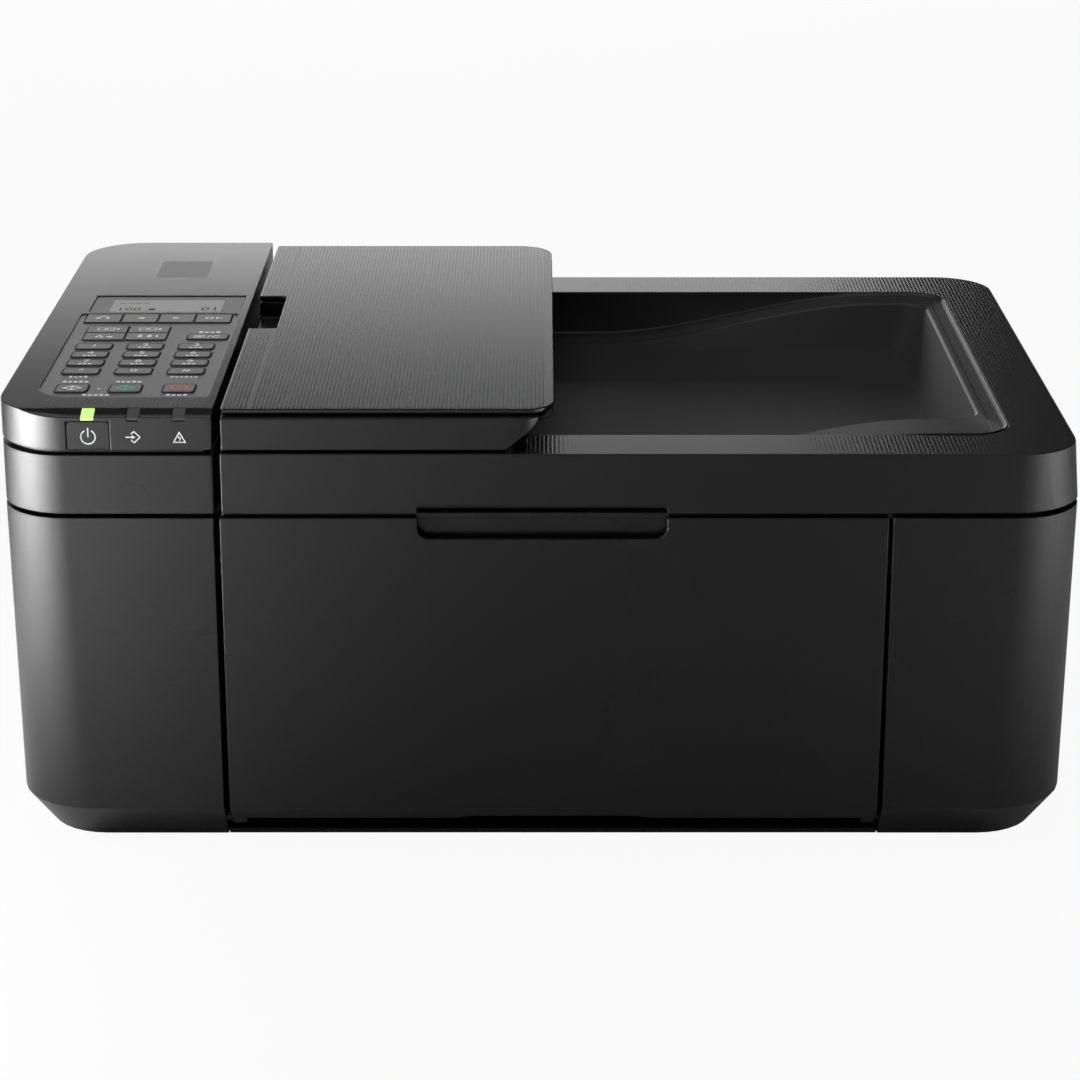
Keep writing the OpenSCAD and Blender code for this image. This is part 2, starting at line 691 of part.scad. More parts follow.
module document_cover() {
    r_top = corner_r - 3;
    color("#1e1f21") {
        difference() {
            hull() {
                translate([0, 0, lid_z]) linear_extrude(sliver) rounded([lid_x, side_x],
                    [front_y, rear_y], [0, corner_r, corner_r, 0], $fn = soft_fn);
                translate([0, 0, lid_top - sliver]) linear_extrude(sliver) rounded(
                    [lid_x, side_x - 2.5], [front_y, rear_y - 0.5], [0, r_top, r_top, 0],
                    $fn = soft_fn);
            }
            // Output recess
            plate([adf_bay[1] - 5, recess_x1], [recess_y0, recess_y1], [recess_z, lid_top + eps],
                [0, 16, 16, 0]);
            // Feeder bay with its scan slot
            block([adf_bay[0], adf_bay[1]], [adf_bay[2], adf_bay[3]],
                [recess_z - 0.3, lid_top + eps]);
            block([strip_x0 + 1, strip_x1 - 1], [-strip_y, strip_y], [lid_z - eps, recess_z + eps]);
            // Seat of the white pad
            block([glass_x0 - 1, glass_x1 + 1], [-glass_w / 2 - 1, glass_w / 2 + 1],
                [lid_z - eps, lid_z + 2.2]);
            // Finger notch at the front and relief at the hinge
            translate([0, front_y + 6, 0]) rotate([90, 0, 0]) linear_extrude(12)
                rounded([-notch_w / 2, notch_w / 2], [lid_z - 10, notch_top_z], [0, 0, 1.5, 1.5]);
            along_x([lid_x - eps, side_x + eps], [[rear_y - 2, lid_z - eps], [rear_y + eps,
                lid_z - eps], [rear_y + eps, lid_z + 2]]);
            for (x = lid_hinges) block([x - ear_w / 2 - 0.5, x + ear_w / 2 + 0.5],
                [lid_pin_y - 10, rear_y + eps], [lid_z - eps, lid_pin_z + 5.5]);
            rod_y(2.5 + run_gap, roller_x, [adf_bay[2] - 5, adf_bay[3] + 5], roller_z);
        }
        // Ledges that lift the edges of the ejected sheet
        intersection() {
            union() {
                along_y([recess_y1 - ledge_rear, recess_y1 + eps], ledge_outline);
                along_y([recess_y0 - eps, recess_y0 + ledge_front], ledge_outline);
                block([recess_x1 - ledge_right, recess_x1 + eps], [recess_y0, recess_y1],
                    [recess_z - 0.5, ledge_height(recess_x1)]);
            }
            plate([0, recess_x1 + 0.5], [recess_y0 - 0.5, recess_y1 + 0.5], [lid_z + 3,
                lid_top - 0.5], [0, 16, 16, 0]);
        }
        for (x = lid_hinges) rod_x(lid_pin_r, [x - ear_w / 2 - 2, x + ear_w / 2 + 2], lid_pin_y,
            lid_pin_z);
        // Ears that carry the feeder cover
        for (y = [-1, 1]) difference() {
            union() {
                rod_y(3, adf_pin_x, [y * (tray_arm_y + 5) - 2, y * (tray_arm_y + 5) + 2], adf_pin_z);
                block([adf_pin_x - 2.6, adf_pin_x + 2.6], [y * (tray_arm_y + 5) - 2,
                    y * (tray_arm_y + 5) + 2], [lid_top - 2, adf_pin_z]);
            }
            rod_y(adf_pin_r + run_gap, adf_pin_x, [y * (tray_arm_y + 5) - 4,
                y * (tray_arm_y + 5) + 4], adf_pin_z);
        }
    }
}

module platen_pad() {
    color("#f2f2ee") block([glass_x0, glass_x1], [-glass_w / 2, glass_w / 2],
        [lid_z - 0.1, lid_z + 2.15]);
}

module adf_cover() {
    w = wall;
    y = [front_y + 2.5, rear_y - 2.5];
    out = [[lid_x, adf_z0], [adf_x1 - 16.5, adf_z0], [adf_x1, adf_z1], [lid_x, adf_z1]];
    ear_y = tray_arm_y + 5;
    color("#1b1c1e") {
        difference() {
            intersection() {
                along_y(y, out);
                plate([lid_x, adf_x1], y, [adf_z0 - eps, adf_z1 + eps], [1, 12, 14, 1]);
            }
            // Hollow from below, left of the sloped end
            block([lid_x + w, adf_x1 - 20], [y[0] + w, y[1] - w], [adf_z0 - eps, adf_bed_z - 2]);
            for (s = [-1, 1]) block([adf_pin_x - 10, adf_pin_x + 3.6], [s * ear_y - 2.5,
                s * ear_y + 2.5], [adf_z0 - eps, adf_pin_z + 3.6]);
            // Paper bed open to the right, and the finger notch under the tray
            block([lid_x + 24, adf_x1 + eps], [-strip_y - 6, strip_y + 6], [adf_bed_z, adf_z1 + eps]);
            block([lid_x - eps, lid_x + 12], [-15, 42], [adf_bed_z, adf_z1 + eps]);
            // Room for the lugs of the tray
            for (s = [-1, 1]) rod_y(tray_room, tray_pin_x, [s * tray_arm_y - 5, s * tray_arm_y + 5],
                tray_pin_z);
        }
        for (s = [-1, 1]) {
            rod_y(adf_pin_r, adf_pin_x, [s * ear_y - 4, s * ear_y + 4], adf_pin_z);
            // Ear of the tray hinge
            difference() {
                hull() {
                    rod_y(tray_lug_r, tray_pin_x, [s * tray_arm_y - 2, s * tray_arm_y + 2],
                        tray_pin_z);
                    block([adf_x1 - 16, adf_x1 - 8], [s * tray_arm_y - 2, s * tray_arm_y + 2],
                        [tray_pin_z - 3, tray_pin_z - 1]);
                }
                rod_y(tray_pin_r + run_gap, tray_pin_x, [s * tray_arm_y - 4,
                    s * tray_arm_y + 4], tray_pin_z);
            }
        }
        block([lid_x + 3, lid_x + 10], [-6, 34], [adf_bed_z - 0.5, adf_bed_z + 2]);
    }
}

module document_tray() {
    y = [front_y + 6.5, rear_y - 5.5];
    color("#26272a") {
        difference() {
            plate([lid_x, tray_x1], y, [tray_z, tray_top], [1, 12, 16, 1]);
            plate([lid_x - eps, lid_x + 12.2], [-15, 42], [tray_z - eps, tray_top + eps],
                [0, 2, 2, 0]);
        }
        for (s = [-1, 1], d = [-4.6, 2.6]) {
            a = s * tray_arm_y + d;
            block([tray_pin_x - tray_lug_r, tray_pin_x + tray_lug_r], [a, a + 2],
                [tray_pin_z, tray_z + 0.5]);
            rod_y(tray_lug_r, tray_pin_x, [a, a + 2], tray_pin_z);
        }
        for (s = [-1, 1]) rod_y(tray_pin_r, tray_pin_x, [s * tray_arm_y - 4, s * tray_arm_y + 4],
            tray_pin_z);
    }
}

module document_guide(side) {
    y = side * (sheet_w / 2 + 1);
    color("#2f3033") {
        block([-58, -10], [min(y, y + side * 2.2), max(y, y + side * 2.2)],
            [adf_bed_z + 0.35, adf_z1 - 0.4]);
        block([-52, -16], [min(y, y - side * 16), max(y, y - side * 16)],
            [adf_bed_z + 0.35, adf_bed_z + 1.6]);
    }
}

module adf_roller() {
    color("#3a3a3c") {
        rod_y(2.5, roller_x, [adf_bay[2] - 4, adf_bay[3] + 4], roller_z);
        for (s = [[-92, -52], [-20, 20], [52, 92]]) rod_y(8, roller_x, s, roller_z);
    }
}

/* ---- key panel ---- */

number_keys = [for (row = [0:3], col = [0:2])
    [number_x0 + col * key_pitch_x, number_y0 - row * key_pitch_y]];
start_y = front_y + 36.3;
strip_gap = 0.5;
soft_size = [15.6, 14.2];
soft_pitch = soft_size[0] + strip_gap;
soft_x = [for (i = [0:3]) plate_box[0] + 10.8 + i * soft_pitch];
soft_y = plate_box[3] - 8;
mode_size = [17.6, 11.4];
mode_x = [for (i = [0, 1]) plate_box[0] + 15.1 + i * (mode_size[0] + strip_gap)];
mode_y = [for (i = [0, 1]) front_y + 129.7 - i * (mode_size[1] + strip_gap)];
menu_size = [17.5, 8.9];
menu_at = [plate_box[1] - 1 - menu_size[0] / 2, front_y + 117.5];
start_size = [13, 12];
led_h = 3.2;
led_x = [panel_x - 49, panel_x - 30.9, panel_x - 12.9];
button_x = panel_x - 48.85;
window_box = [panel_x - 70.5, panel_x - 3, plate_box[3] + 3.6, plate_box[3] + 32.6];

module key_hole(at, w, d, r) {
    g = key_gap;
    translate([at[0], at[1], well_z - eps]) linear_extrude(plate_top - well_z + 2 * eps)
        rounded([-w / 2 - g, w / 2 + g], [-d / 2 - g, d / 2 + g], [r, r, r, r]);
}

module key_cap(at, w, d, r) {
    translate([at[0], at[1], plate_top - key_skirt])
        linear_extrude(key_top - plate_top + key_skirt)
            rounded([-w / 2, w / 2], [-d / 2, d / 2], r);
}

module operation_panel() {
    w = wall;
    bevel = 2.2;
    color("#1f2022") difference() {
        intersection() {
            plate([-side_x, panel_x], [front_y, rear_y], [panel_z, height], [corner_r, 1, 1,
                corner_r]);
            along_x([-side_x - eps, panel_x + eps], [[front_y - eps, panel_z - eps], [front_y - eps,
                height - bevel], [front_y + 3 * bevel, height], [rear_y + eps, height],
                [rear_y + eps, panel_z - eps]]);
        }
        plate([-side_x + w, panel_x - w], [front_y + w, rear_y - w], [panel_z - eps, height - w],
            [corner_r - w, 0, 0, corner_r - w]);
        // Opening of the key plate, window seat, status windows and power button
        plate([plate_box[0], plate_box[1]], [plate_box[2], plate_box[3]], [panel_z, height + eps],
            [14, 2, 2, 2]);
        block([window_box[0], window_box[1]], [window_box[2], window_box[3]],
            [height - 1.2, height + eps]);
        for (x = led_x) block([x - 2.6, x + 2.6], [front_y - eps, front_y + 7],
            [height - led_h - 0.2, height + eps]);
        block([button_x - 8.45 - 0.3, button_x + 8.45 + 0.3], [front_y - eps, front_y + 3 * w],
            [panel_z - eps, panel_z + 11.6]);
    }
}

module key_plate() {
    color("#4a4c50") {
        difference() {
            plate([plate_box[0] + 0.1, plate_box[1] - 0.1], [plate_box[2] + 0.1,
                plate_box[3] - 0.1], [plate_top - plate_t, plate_top], [14, 2, 2, 2]);
            for (at = number_keys) key_hole(at, key_w, key_d, key_r + key_gap);
            key_hole([(soft_x[0] + soft_x[3]) / 2, soft_y], soft_size[0] + 3 * soft_pitch,
                soft_size[1], strip_gap);
            key_hole([(mode_x[0] + mode_x[1]) / 2, (mode_y[0] + mode_y[1]) / 2],
                2 * mode_size[0] + strip_gap, 2 * mode_size[1] + strip_gap, key_r + key_gap);
            key_hole(menu_at, menu_size[0], menu_size[1], key_r + key_gap);
            for (i = [0:2]) key_hole([number_x0 + i * key_pitch_x, start_y], start_size[0],
                start_size[1], key_r + key_gap);
        }
        // Contact board under the keys
        block([plate_box[0] + 2, plate_box[1] - 2], [plate_box[2] + 14, plate_box[3] - 1],
            [well_z - 1.6, well_z]);
        for (y = [plate_box[2] + 16, front_y + 80, plate_box[3] - 17.5])
            block([plate_box[0] + 3, plate_box[0] + 5.5], [y, y + 2], [well_z - 0.5,
                plate_top - plate_t + 0.1]);
        for (y = [plate_box[2] + 24, plate_box[3] - 17.5])
            block([plate_box[1] - 1.9, plate_box[1] - 0.3], [y, y + 2], [well_z - 0.5,
                plate_top - plate_t + 0.1]);
    }
}

module panel_windows() {
    color("#5c6a63") {
        block([window_box[0] + 0.1, window_box[1] - 0.1], [window_box[2] + 0.1,
            window_box[3] - 0.1], [height - 1.1, height - 0.3]);
        for (x = led_x) along_x([x - 2.5, x + 2.5], [[front_y + 0.1, height - led_h],
            [front_y + 0.1, height - 2.2], [front_y + 6.6, height - 0.1], [front_y + 6.6, height - 1],
            [front_y + 2, height - led_h]]);
    }
}

module power_button() {
    color("#26272a") translate([button_x, front_y + 6, panel_z + 0.2]) rotate([90, 0, 0])
        linear_extrude(5.4) rounded([-8.45, 8.45], [0, 11.3], [0, 0, 1.7, 1.7]);
}

module soft_key(i) {
    color("#55575b") key_cap([soft_x[i], soft_y], soft_size[0], soft_size[1], [0, 0, 0, 0]);
}

module mode_key(i) {
    left = i % 2 == 0 ? key_r : 0;
    right = key_r - left;
    rear = i < 2 ? 1 : 0;
    color("#55575b") key_cap([mode_x[i % 2], mode_y[floor(i / 2)]], mode_size[0],
        mode_size[1], [left * (1 - rear), right * (1 - rear), right * rear, left * rear]);
}

module menu_key() {
    color("#55575b") key_cap(menu_at, menu_size[0], menu_size[1],
        [key_r, key_r, key_r, key_r]);
}

module start_key(i, shade) {
    color(shade) key_cap([number_x0 + i * key_pitch_x, start_y], start_size[0], start_size[1],
        [key_r, key_r, key_r, key_r]);
}

module number_key(i) {
    color("#55575b") key_cap(number_keys[i], key_w, key_d, [key_r, key_r, key_r, key_r]);
}

main_case();
base_pan();
feet();
front_cover();
front_guide();
output_tray();
output_extension();
paper_guide(-1);  // guide_left
paper_guide(1);  // guide_right
pick_roller();
feed_roller();
exit_roller();
carriage();
ink_cartridges();
chassis_frame();
drive_belt();
carriage_motor();
drive_pulley();
service_station();
rear_cover();
power_supply();
main_board();
scanner_frame();
platen_glass();
scan_bar();
document_cover();
platen_pad();
operation_panel();
key_plate();
panel_windows();
adf_cover();
document_tray();
document_guide(-1);  // document_guide_front
document_guide(1);  // document_guide_rear
adf_roller();
power_button();
for (i = [0:3]) soft_key(i);
for (i = [0:3]) mode_key(i);
menu_key();
start_key(0, "#55575b");  // start_black_key
start_key(1, "#55575b");  // start_color_key
start_key(2, "#55575b");  // stop_key
for (i = [0:11]) number_key(i);
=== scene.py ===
# %% [markdown]
# # A compact inkjet printer
# The printer is made of moulded black plastic shells with a fine satin grain. Its shape comes from
# a fixed frame of working parts. This lesson gives those parts rounded edges, ribs, legends and
# finishes, and never moves them.

# %% Load the frame
import json
import math

import bmesh
import bpy
from mathutils import Matrix, Vector


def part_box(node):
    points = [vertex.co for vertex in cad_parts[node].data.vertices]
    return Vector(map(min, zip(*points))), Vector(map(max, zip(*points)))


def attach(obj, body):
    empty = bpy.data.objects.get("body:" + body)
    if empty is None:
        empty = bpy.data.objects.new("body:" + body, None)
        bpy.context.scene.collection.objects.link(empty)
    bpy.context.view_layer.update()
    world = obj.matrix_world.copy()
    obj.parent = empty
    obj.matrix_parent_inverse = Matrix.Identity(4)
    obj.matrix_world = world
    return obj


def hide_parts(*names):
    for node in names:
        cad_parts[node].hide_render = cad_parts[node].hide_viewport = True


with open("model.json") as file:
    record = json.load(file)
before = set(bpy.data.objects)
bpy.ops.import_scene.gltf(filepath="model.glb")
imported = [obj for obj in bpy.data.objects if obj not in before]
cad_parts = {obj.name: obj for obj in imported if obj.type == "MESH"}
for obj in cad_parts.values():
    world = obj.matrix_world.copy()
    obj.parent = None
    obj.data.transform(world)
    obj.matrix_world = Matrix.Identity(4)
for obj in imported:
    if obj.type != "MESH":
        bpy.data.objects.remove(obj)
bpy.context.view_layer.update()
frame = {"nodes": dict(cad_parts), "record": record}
MM = 0.001

# %% [markdown]
# ## Places
# Every place is read from the frame's own boxes, so a piece always lands where the working part is.

# %% Main levels and edges
panel_low, panel_high = [Vector(c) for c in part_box("operation_panel")]
lid_low, lid_high = [Vector(c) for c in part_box("document_cover")]
tray_low, tray_high = [Vector(c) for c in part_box("document_tray")]
plate_low, plate_high = [Vector(c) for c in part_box("key_plate")]
FRONT = panel_low.y
LID_RISE = 24.8 * MM
LID_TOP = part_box("platen_pad")[0][2] + LID_RISE
print("lid top", round(LID_TOP, 5), "panel top", round(panel_high.z, 5))

# %% [markdown]
# ## Camera, floor and light
# A black satin object shows only what it reflects. So the light is built from large soft cards:
# some at the left for the rounded corners, one low behind for the top faces, and a weak one at the
# right. The floor and the far background are plain and pale.

# %% Camera
scene = bpy.context.scene
SENSOR = 36.0
LENS = 101.52
LOOKS_DOWN = 18.653
camera_data = bpy.data.cameras.new("camera")
camera_data.sensor_width = SENSOR
camera_data.lens = LENS
camera_data.clip_end = 50
camera = bpy.data.objects.new("camera", camera_data)
camera.location = (-0.00081, -1.29951, 0.52506)
camera.rotation_euler = (math.radians(90 - LOOKS_DOWN), 0, 0)
scene.collection.objects.link(camera)
scene.camera = camera
scene.view_settings.view_transform = "Standard"
print("camera at", tuple(round(v, 3) for v in camera.location))


# %% [markdown]
# The world and the floor look white to the camera but cast little light. A Light Path node tells
# the two apart. A bright floor would be mirrored in the black front and turn it grey.

# %% World and floor
def pale_world(seen=1.0, cast=0.05):
    """A background that looks white and casts only a little light."""
    world = bpy.data.worlds.new("studio")
    scene.world = world
    world.use_nodes = True
    tree = world.node_tree
    back = tree.nodes["Background"]
    path = tree.nodes.new("ShaderNodeLightPath")
    mix = tree.nodes.new("ShaderNodeMix")
    mix.data_type = "FLOAT"
    mix.inputs["A"].default_value = cast
    mix.inputs["B"].default_value = seen
    tree.links.new(path.outputs["Is Camera Ray"], mix.inputs["Factor"])
    tree.links.new(mix.outputs["Result"], back.inputs["Strength"])
    back.inputs["Color"].default_value = (1, 1, 1, 1)


def plain_floor(half=6.0):
    """A pale floor. Seen straight it is near white, and in reflections it stays dim."""
    mesh = bpy.data.meshes.new("floor")
    mesh.from_pydata([(-half, -half, 0), (half, -half, 0), (half, half, 0), (-half, half, 0)],
                     [], [(0, 1, 2, 3)])
    floor = bpy.data.objects.new("floor", mesh)
    scene.collection.objects.link(floor)
    material = bpy.data.materials.new("floor_white")
    material.use_nodes = True
    tree = material.node_tree
    out = tree.nodes["Material Output"]
    plain = tree.nodes["Principled BSDF"]
    plain.inputs["Base Color"].default_value = (0.7, 0.7, 0.7, 1)
    plain.inputs["Roughness"].default_value = 0.9
    glow = tree.nodes.new("ShaderNodeEmission")
    glow.inputs["Strength"].default_value = 1.0
    path = tree.nodes.new("ShaderNodeLightPath")
    scale = tree.nodes.new("ShaderNodeMath")
    scale.operation = "MULTIPLY"
    scale.inputs[1].default_value = 0.94
    mix = tree.nodes.new("ShaderNodeMixShader")
    tree.links.new(path.outputs["Is Camera Ray"], scale.inputs[0])
    tree.links.new(scale.outputs[0], mix.inputs["Fac"])
    tree.links.new(plain.outputs[0], mix.inputs[1])
    tree.links.new(glow.outputs[0], mix.inputs[2])
    tree.links.new(mix.outputs[0], out.inputs["Surface"])
    mesh.materials.append(material)


pale_world()
plain_floor()
print("stage ready")


# %% [markdown]
# Each card is an area light. The rear card is what the flat tops mirror, the washes light the floor
# at either side so that the round corners pick up a soft bright column, and the top card gives the
# white print and the small bevels their light.

# %% Soft cards
def soft_card(name, place, aim, size, watts, spread=180):
    """An area light that points from its place to its aim."""
    data = bpy.data.lights.new(name, "AREA")
    data.shape = "RECTANGLE"
    data.size, data.size_y = size
    data.energy = watts
    data.spread = math.radians(spread)
    light = bpy.data.objects.new(name, data)
    light.location = place
    direction = Vector(aim) - Vector(place)
    light.rotation_euler = direction.to_track_quat("-Z", "Y").to_euler()
    scene.collection.objects.link(light)


soft_card("rear_card", (-0.60, 2.6, 0.39), (-0.60, 0, 0.39), (2.1, 0.78), 12)
soft_card("left_wash", (-1.0, -0.5, 0.6), (-1.0, -0.499, 0), (0.6, 0.6), 85, spread=100)
soft_card("front_left_wash", (-0.6, -1.3, 0.7), (-0.6, -1.299, 0), (0.6, 0.6), 6, spread=100)
soft_card("right_wash", (1.0, -0.45, 0.6), (1.0, -0.449, 0), (0.6, 0.6), 13, spread=100)
soft_card("left_card", (-1.7, -0.35, 0.45), (0, 0, 0.1), (1.2, 1.6), 10)
soft_card("front_left_card", (-1.6, -1.8, 1.2), (0, 0, 0.1), (1.2, 1.2), 5)
soft_card("top_card", (-0.3, 0.3, 1.9), (-0.3, 0.301, 0), (1.8, 2.8), 10)

# %% [markdown]
# ## Finishes
# The plastics share one effect: a very fine moulded grain with slight unevenness in tone and gloss.
# It is a node group with named inputs, placed in each material with its own values. The shader and
# its constant values stay in the material.


# %% Grain group
def grain_group():
    group = bpy.data.node_groups.new("moulded_grain", "ShaderNodeTree")
    face = group.interface
    for name, value in (("Grain size", 1400.0), ("Cloud size", 9.0), ("Tone spread", 0.15),
                        ("Rough", 0.4), ("Rough spread", 0.06)):
        face.new_socket(name, in_out="INPUT", socket_type="NodeSocketFloat").default_value = value
    face.new_socket("Color", in_out="INPUT", socket_type="NodeSocketColor")
    face.new_socket("Color", in_out="OUTPUT", socket_type="NodeSocketColor")
    face.new_socket("Roughness", in_out="OUTPUT", socket_type="NodeSocketFloat")
    face.new_socket("Height", in_out="OUTPUT", socket_type="NodeSocketFloat")
    nodes, links = group.nodes, group.links
    start = nodes.new("NodeGroupInput")
    end = nodes.new("NodeGroupOutput")
    where = nodes.new("ShaderNodeTexCoord")
    fine = nodes.new("ShaderNodeTexNoise")
    fine.inputs["Detail"].default_value = 2.0
    cloud = nodes.new("ShaderNodeTexNoise")
    cloud.inputs["Detail"].default_value = 4.0
    links.new(where.outputs["Object"], fine.inputs["Vector"])
    links.new(where.outputs["Object"], cloud.inputs["Vector"])
    links.new(start.outputs["Grain size"], fine.inputs["Scale"])
    links.new(start.outputs["Cloud size"], cloud.inputs["Scale"])

    def swing(source, spread, centre):
        """centre * (1 + (source - 0.5) * spread)"""
        shift = nodes.new("ShaderNodeMath")
        shift.operation = "SUBTRACT"
        shift.inputs[1].default_value = 0.5
        links.new(source, shift.inputs[0])
        widen = nodes.new("ShaderNodeMath")
        widen.operation = "MULTIPLY_ADD"
        widen.inputs[2].default_value = 1.0
        links.new(shift.outputs[0], widen.inputs[0])
        links.new(spread, widen.inputs[1])
        if centre is None:
            return widen.outputs[0]
        times = nodes.new("ShaderNodeMath")
        times.operation = "MULTIPLY"
        links.new(widen.outputs[0], times.inputs[0])
        links.new(centre, times.inputs[1])
        return times.outputs[0]

    tone = swing(cloud.outputs["Fac"], start.outputs["Tone spread"], None)
    scale = nodes.new("ShaderNodeVectorMath")
    scale.operation = "SCALE"
    links.new(start.outputs["Color"], scale.inputs[0])
    links.new(tone, scale.inputs["Scale"])
    links.new(scale.outputs[0], end.inputs["Color"])
    rough = swing(cloud.outputs["Fac"], start.outputs["Rough spread"], start.outputs["Rough"])
    links.new(rough, end.inputs["Roughness"])
    links.new(fine.outputs["Fac"], end.inputs["Height"])
    return group


GRAIN = grain_group()
print("grain inputs:", [s.name for s in GRAIN.interface.items_tree if s.in_out == "INPUT"])


# %% [markdown]
# ### Plastic, lit print and metal
# The three helpers share the grain. Plastic varies a little in tone and gloss, the lit pipe adds
# real light of its own, print gets a painted glow that brightens it, and metal is the same with
# Metallic at 1.

# %% Moulded plastic
def moulded(name, color, rough=0.4, grain=0.12, grain_size=1400.0, tone_spread=0.15,
            rough_spread=0.12, specular=0.5):
    """A plastic with fine grain."""
    material = bpy.data.materials.new(name)
    material.use_nodes = True
    tree = material.node_tree
    shader = tree.nodes["Principled BSDF"]
    shader.inputs["Specular IOR Level"].default_value = specular
    effect = tree.nodes.new("ShaderNodeGroup")
    effect.node_tree = GRAIN
    effect.inputs["Color"].default_value = (*color, 1)
    effect.inputs["Rough"].default_value = rough
    effect.inputs["Rough spread"].default_value = rough_spread
    effect.inputs["Tone spread"].default_value = tone_spread
    effect.inputs["Grain size"].default_value = grain_size
    bump = tree.nodes.new("ShaderNodeBump")
    bump.inputs["Strength"].default_value = grain
    bump.inputs["Distance"].default_value = 0.00005
    tree.links.new(effect.outputs["Color"], shader.inputs["Base Color"])
    tree.links.new(effect.outputs["Roughness"], shader.inputs["Roughness"])
    tree.links.new(effect.outputs["Height"], bump.inputs["Height"])
    tree.links.new(bump.outputs["Normal"], shader.inputs["Normal"])
    return material


def glowing(name, color, strength):
    """A material that adds a little light of its own: real light for a lit pipe, painted glow for
    print.
    """
    material = moulded(name, color, rough=0.5, grain=0.0)
    shader = material.node_tree.nodes["Principled BSDF"]
    shader.inputs["Emission Color"].default_value = (*color, 1)
    shader.inputs["Emission Strength"].default_value = strength
    return material


def metal(name, color, rough=0.3):
    material = moulded(name, color, rough=rough, grain=0.1, tone_spread=0.1, rough_spread=0.3)
    material.node_tree.nodes["Principled BSDF"].inputs["Metallic"].default_value = 1.0
    return material


# %% [markdown]
# ## The rim's texture
# The rim of the document cover carries very fine ribs that run from front to back. Cut as real
# geometry they would be tens of thousands of faces, so they are a wave pattern that feeds the bump
# and darkens the tone between ribs as painted shade, and only the flat rim faces get this finish.


# %% Rim texture
def ribbed(name, color, pitch, depth, rough, dark):
    """A plastic with ribs along Y. dark is how much of the tone is left between two ribs: painted
    shade.
    """
    material = moulded(name, color, rough=rough)
    tree = material.node_tree
    shader = tree.nodes["Principled BSDF"]
    where = tree.nodes.new("ShaderNodeTexCoord")
    split = tree.nodes.new("ShaderNodeSeparateXYZ")
    tree.links.new(where.outputs["Object"], split.inputs[0])

    turn = tree.nodes.new("ShaderNodeMath")
    turn.operation = "MULTIPLY"
    turn.inputs[1].default_value = 2 * math.pi / pitch
    sine = tree.nodes.new("ShaderNodeMath")
    sine.operation = "SINE"
    level = tree.nodes.new("ShaderNodeMapRange")
    level.inputs["From Min"].default_value = -1.0
    tree.links.new(split.outputs["X"], turn.inputs[0])
    tree.links.new(turn.outputs[0], sine.inputs[0])
    tree.links.new(sine.outputs[0], level.inputs["Value"])
    height = level.outputs["Result"]
    bump = tree.nodes.new("ShaderNodeBump")
    bump.inputs["Strength"].default_value = 1.0
    bump.inputs["Distance"].default_value = depth
    tree.links.new(height, bump.inputs["Height"])
    tree.links.new(bump.outputs["Normal"], shader.inputs["Normal"])
    # The tone is darker between the ribs: painted shade in the grooves.
    tone = tree.nodes.new("ShaderNodeMix")
    tone.data_type = "RGBA"
    tone.inputs["A"].default_value = (*[c * dark for c in color], 1)
    tone.inputs["B"].default_value = (*color, 1)
    tree.links.new(height, tone.inputs["Factor"])
    tree.links.new(tone.outputs["Result"], shader.inputs["Base Color"])
    return material


# %% [markdown]
# ### The list of finishes
# The tops are smoother than the sides, because the real ones mirror the light behind them, and the
# recess is the dullest. Greys and colours belong to the key plate, the display and the print.

# %% Finishes
SATIN = moulded("satin_black", (0.0105, 0.0105, 0.011), rough=0.27)
LID = moulded("cover_black", (0.0105, 0.0105, 0.011), rough=0.29)
# The rim's ribs carry painted shade between them, set by dark.
RIM = ribbed("rim_ribs_groove_shade", (0.0115, 0.0115, 0.012), 1.7 * MM, 0.05 * MM, rough=0.25, dark=0.5)
PANEL = moulded("panel_black", (0.011, 0.011, 0.0115), rough=0.17)
RECESS = moulded("recess_black", (0.038, 0.038, 0.0385), rough=0.55, specular=0.10)
EDGE = moulded("recess_edge", (0.016, 0.016, 0.0165), rough=0.34, specular=0.34)
TRAY = moulded("tray_black", (0.0105, 0.0105, 0.011), rough=0.17)
# Darker than the tray and panel: painted shade for the plate between ribs and for the panel's ribs.
TROUGH_SHADE = moulded("between_ribs_shade", (0.008, 0.008, 0.0085), rough=0.24, specular=0.36)
INNER = moulded("inner_black", (0.012, 0.012, 0.013), rough=0.55)
PLATE = moulded("plate_grey", (0.12, 0.12, 0.121), rough=0.34)
KEY = moulded("key_grey", (0.125, 0.125, 0.126), rough=0.34)
# Near black, for the painted shade in the gaps around the keys.
GAP_SHADE = moulded("key_gap_shade", (0.012, 0.012, 0.012), rough=0.6)
# The print glows a little: a painted glow that makes it brighter than the lamps alone would.
LEGEND_GLOW = glowing("legend_white_glow", (0.8, 0.8, 0.8), 0.25)
GREEN_GLOW = glowing("legend_green_glow", (0.06, 0.55, 0.34), 0.25)
RED_GLOW = glowing("legend_red_glow", (0.7, 0.11, 0.11), 0.25)
SCREEN = glowing("display_grey", (0.25, 0.255, 0.25), 0.55)
BEZEL = moulded("window_dark", (0.05, 0.05, 0.052), rough=0.3, grain=0.02, specular=0.3)
SEGMENT = moulded("display_mark", (0.03, 0.03, 0.03), rough=0.5, grain=0.0, specular=0.2)
LED_OFF = moulded("light_pipe_off", (0.035, 0.035, 0.035), rough=0.2, grain=0.0)
LED_ON = glowing("light_pipe_on", (0.50, 0.80, 0.22), 0.95)
RUBBER = moulded("roller_rubber", (0.03, 0.03, 0.031), rough=0.8, grain=0.3)
FOAM = moulded("pad_white", (0.82, 0.82, 0.80), rough=0.85, grain=0.5, grain_size=500.0)
BOARD = moulded("board_green", (0.01, 0.09, 0.035), rough=0.35)
STEEL = metal("plated_steel", (0.55, 0.56, 0.57), 0.32)
ALLOY = metal("turned_alloy", (0.78, 0.78, 0.79), 0.25)


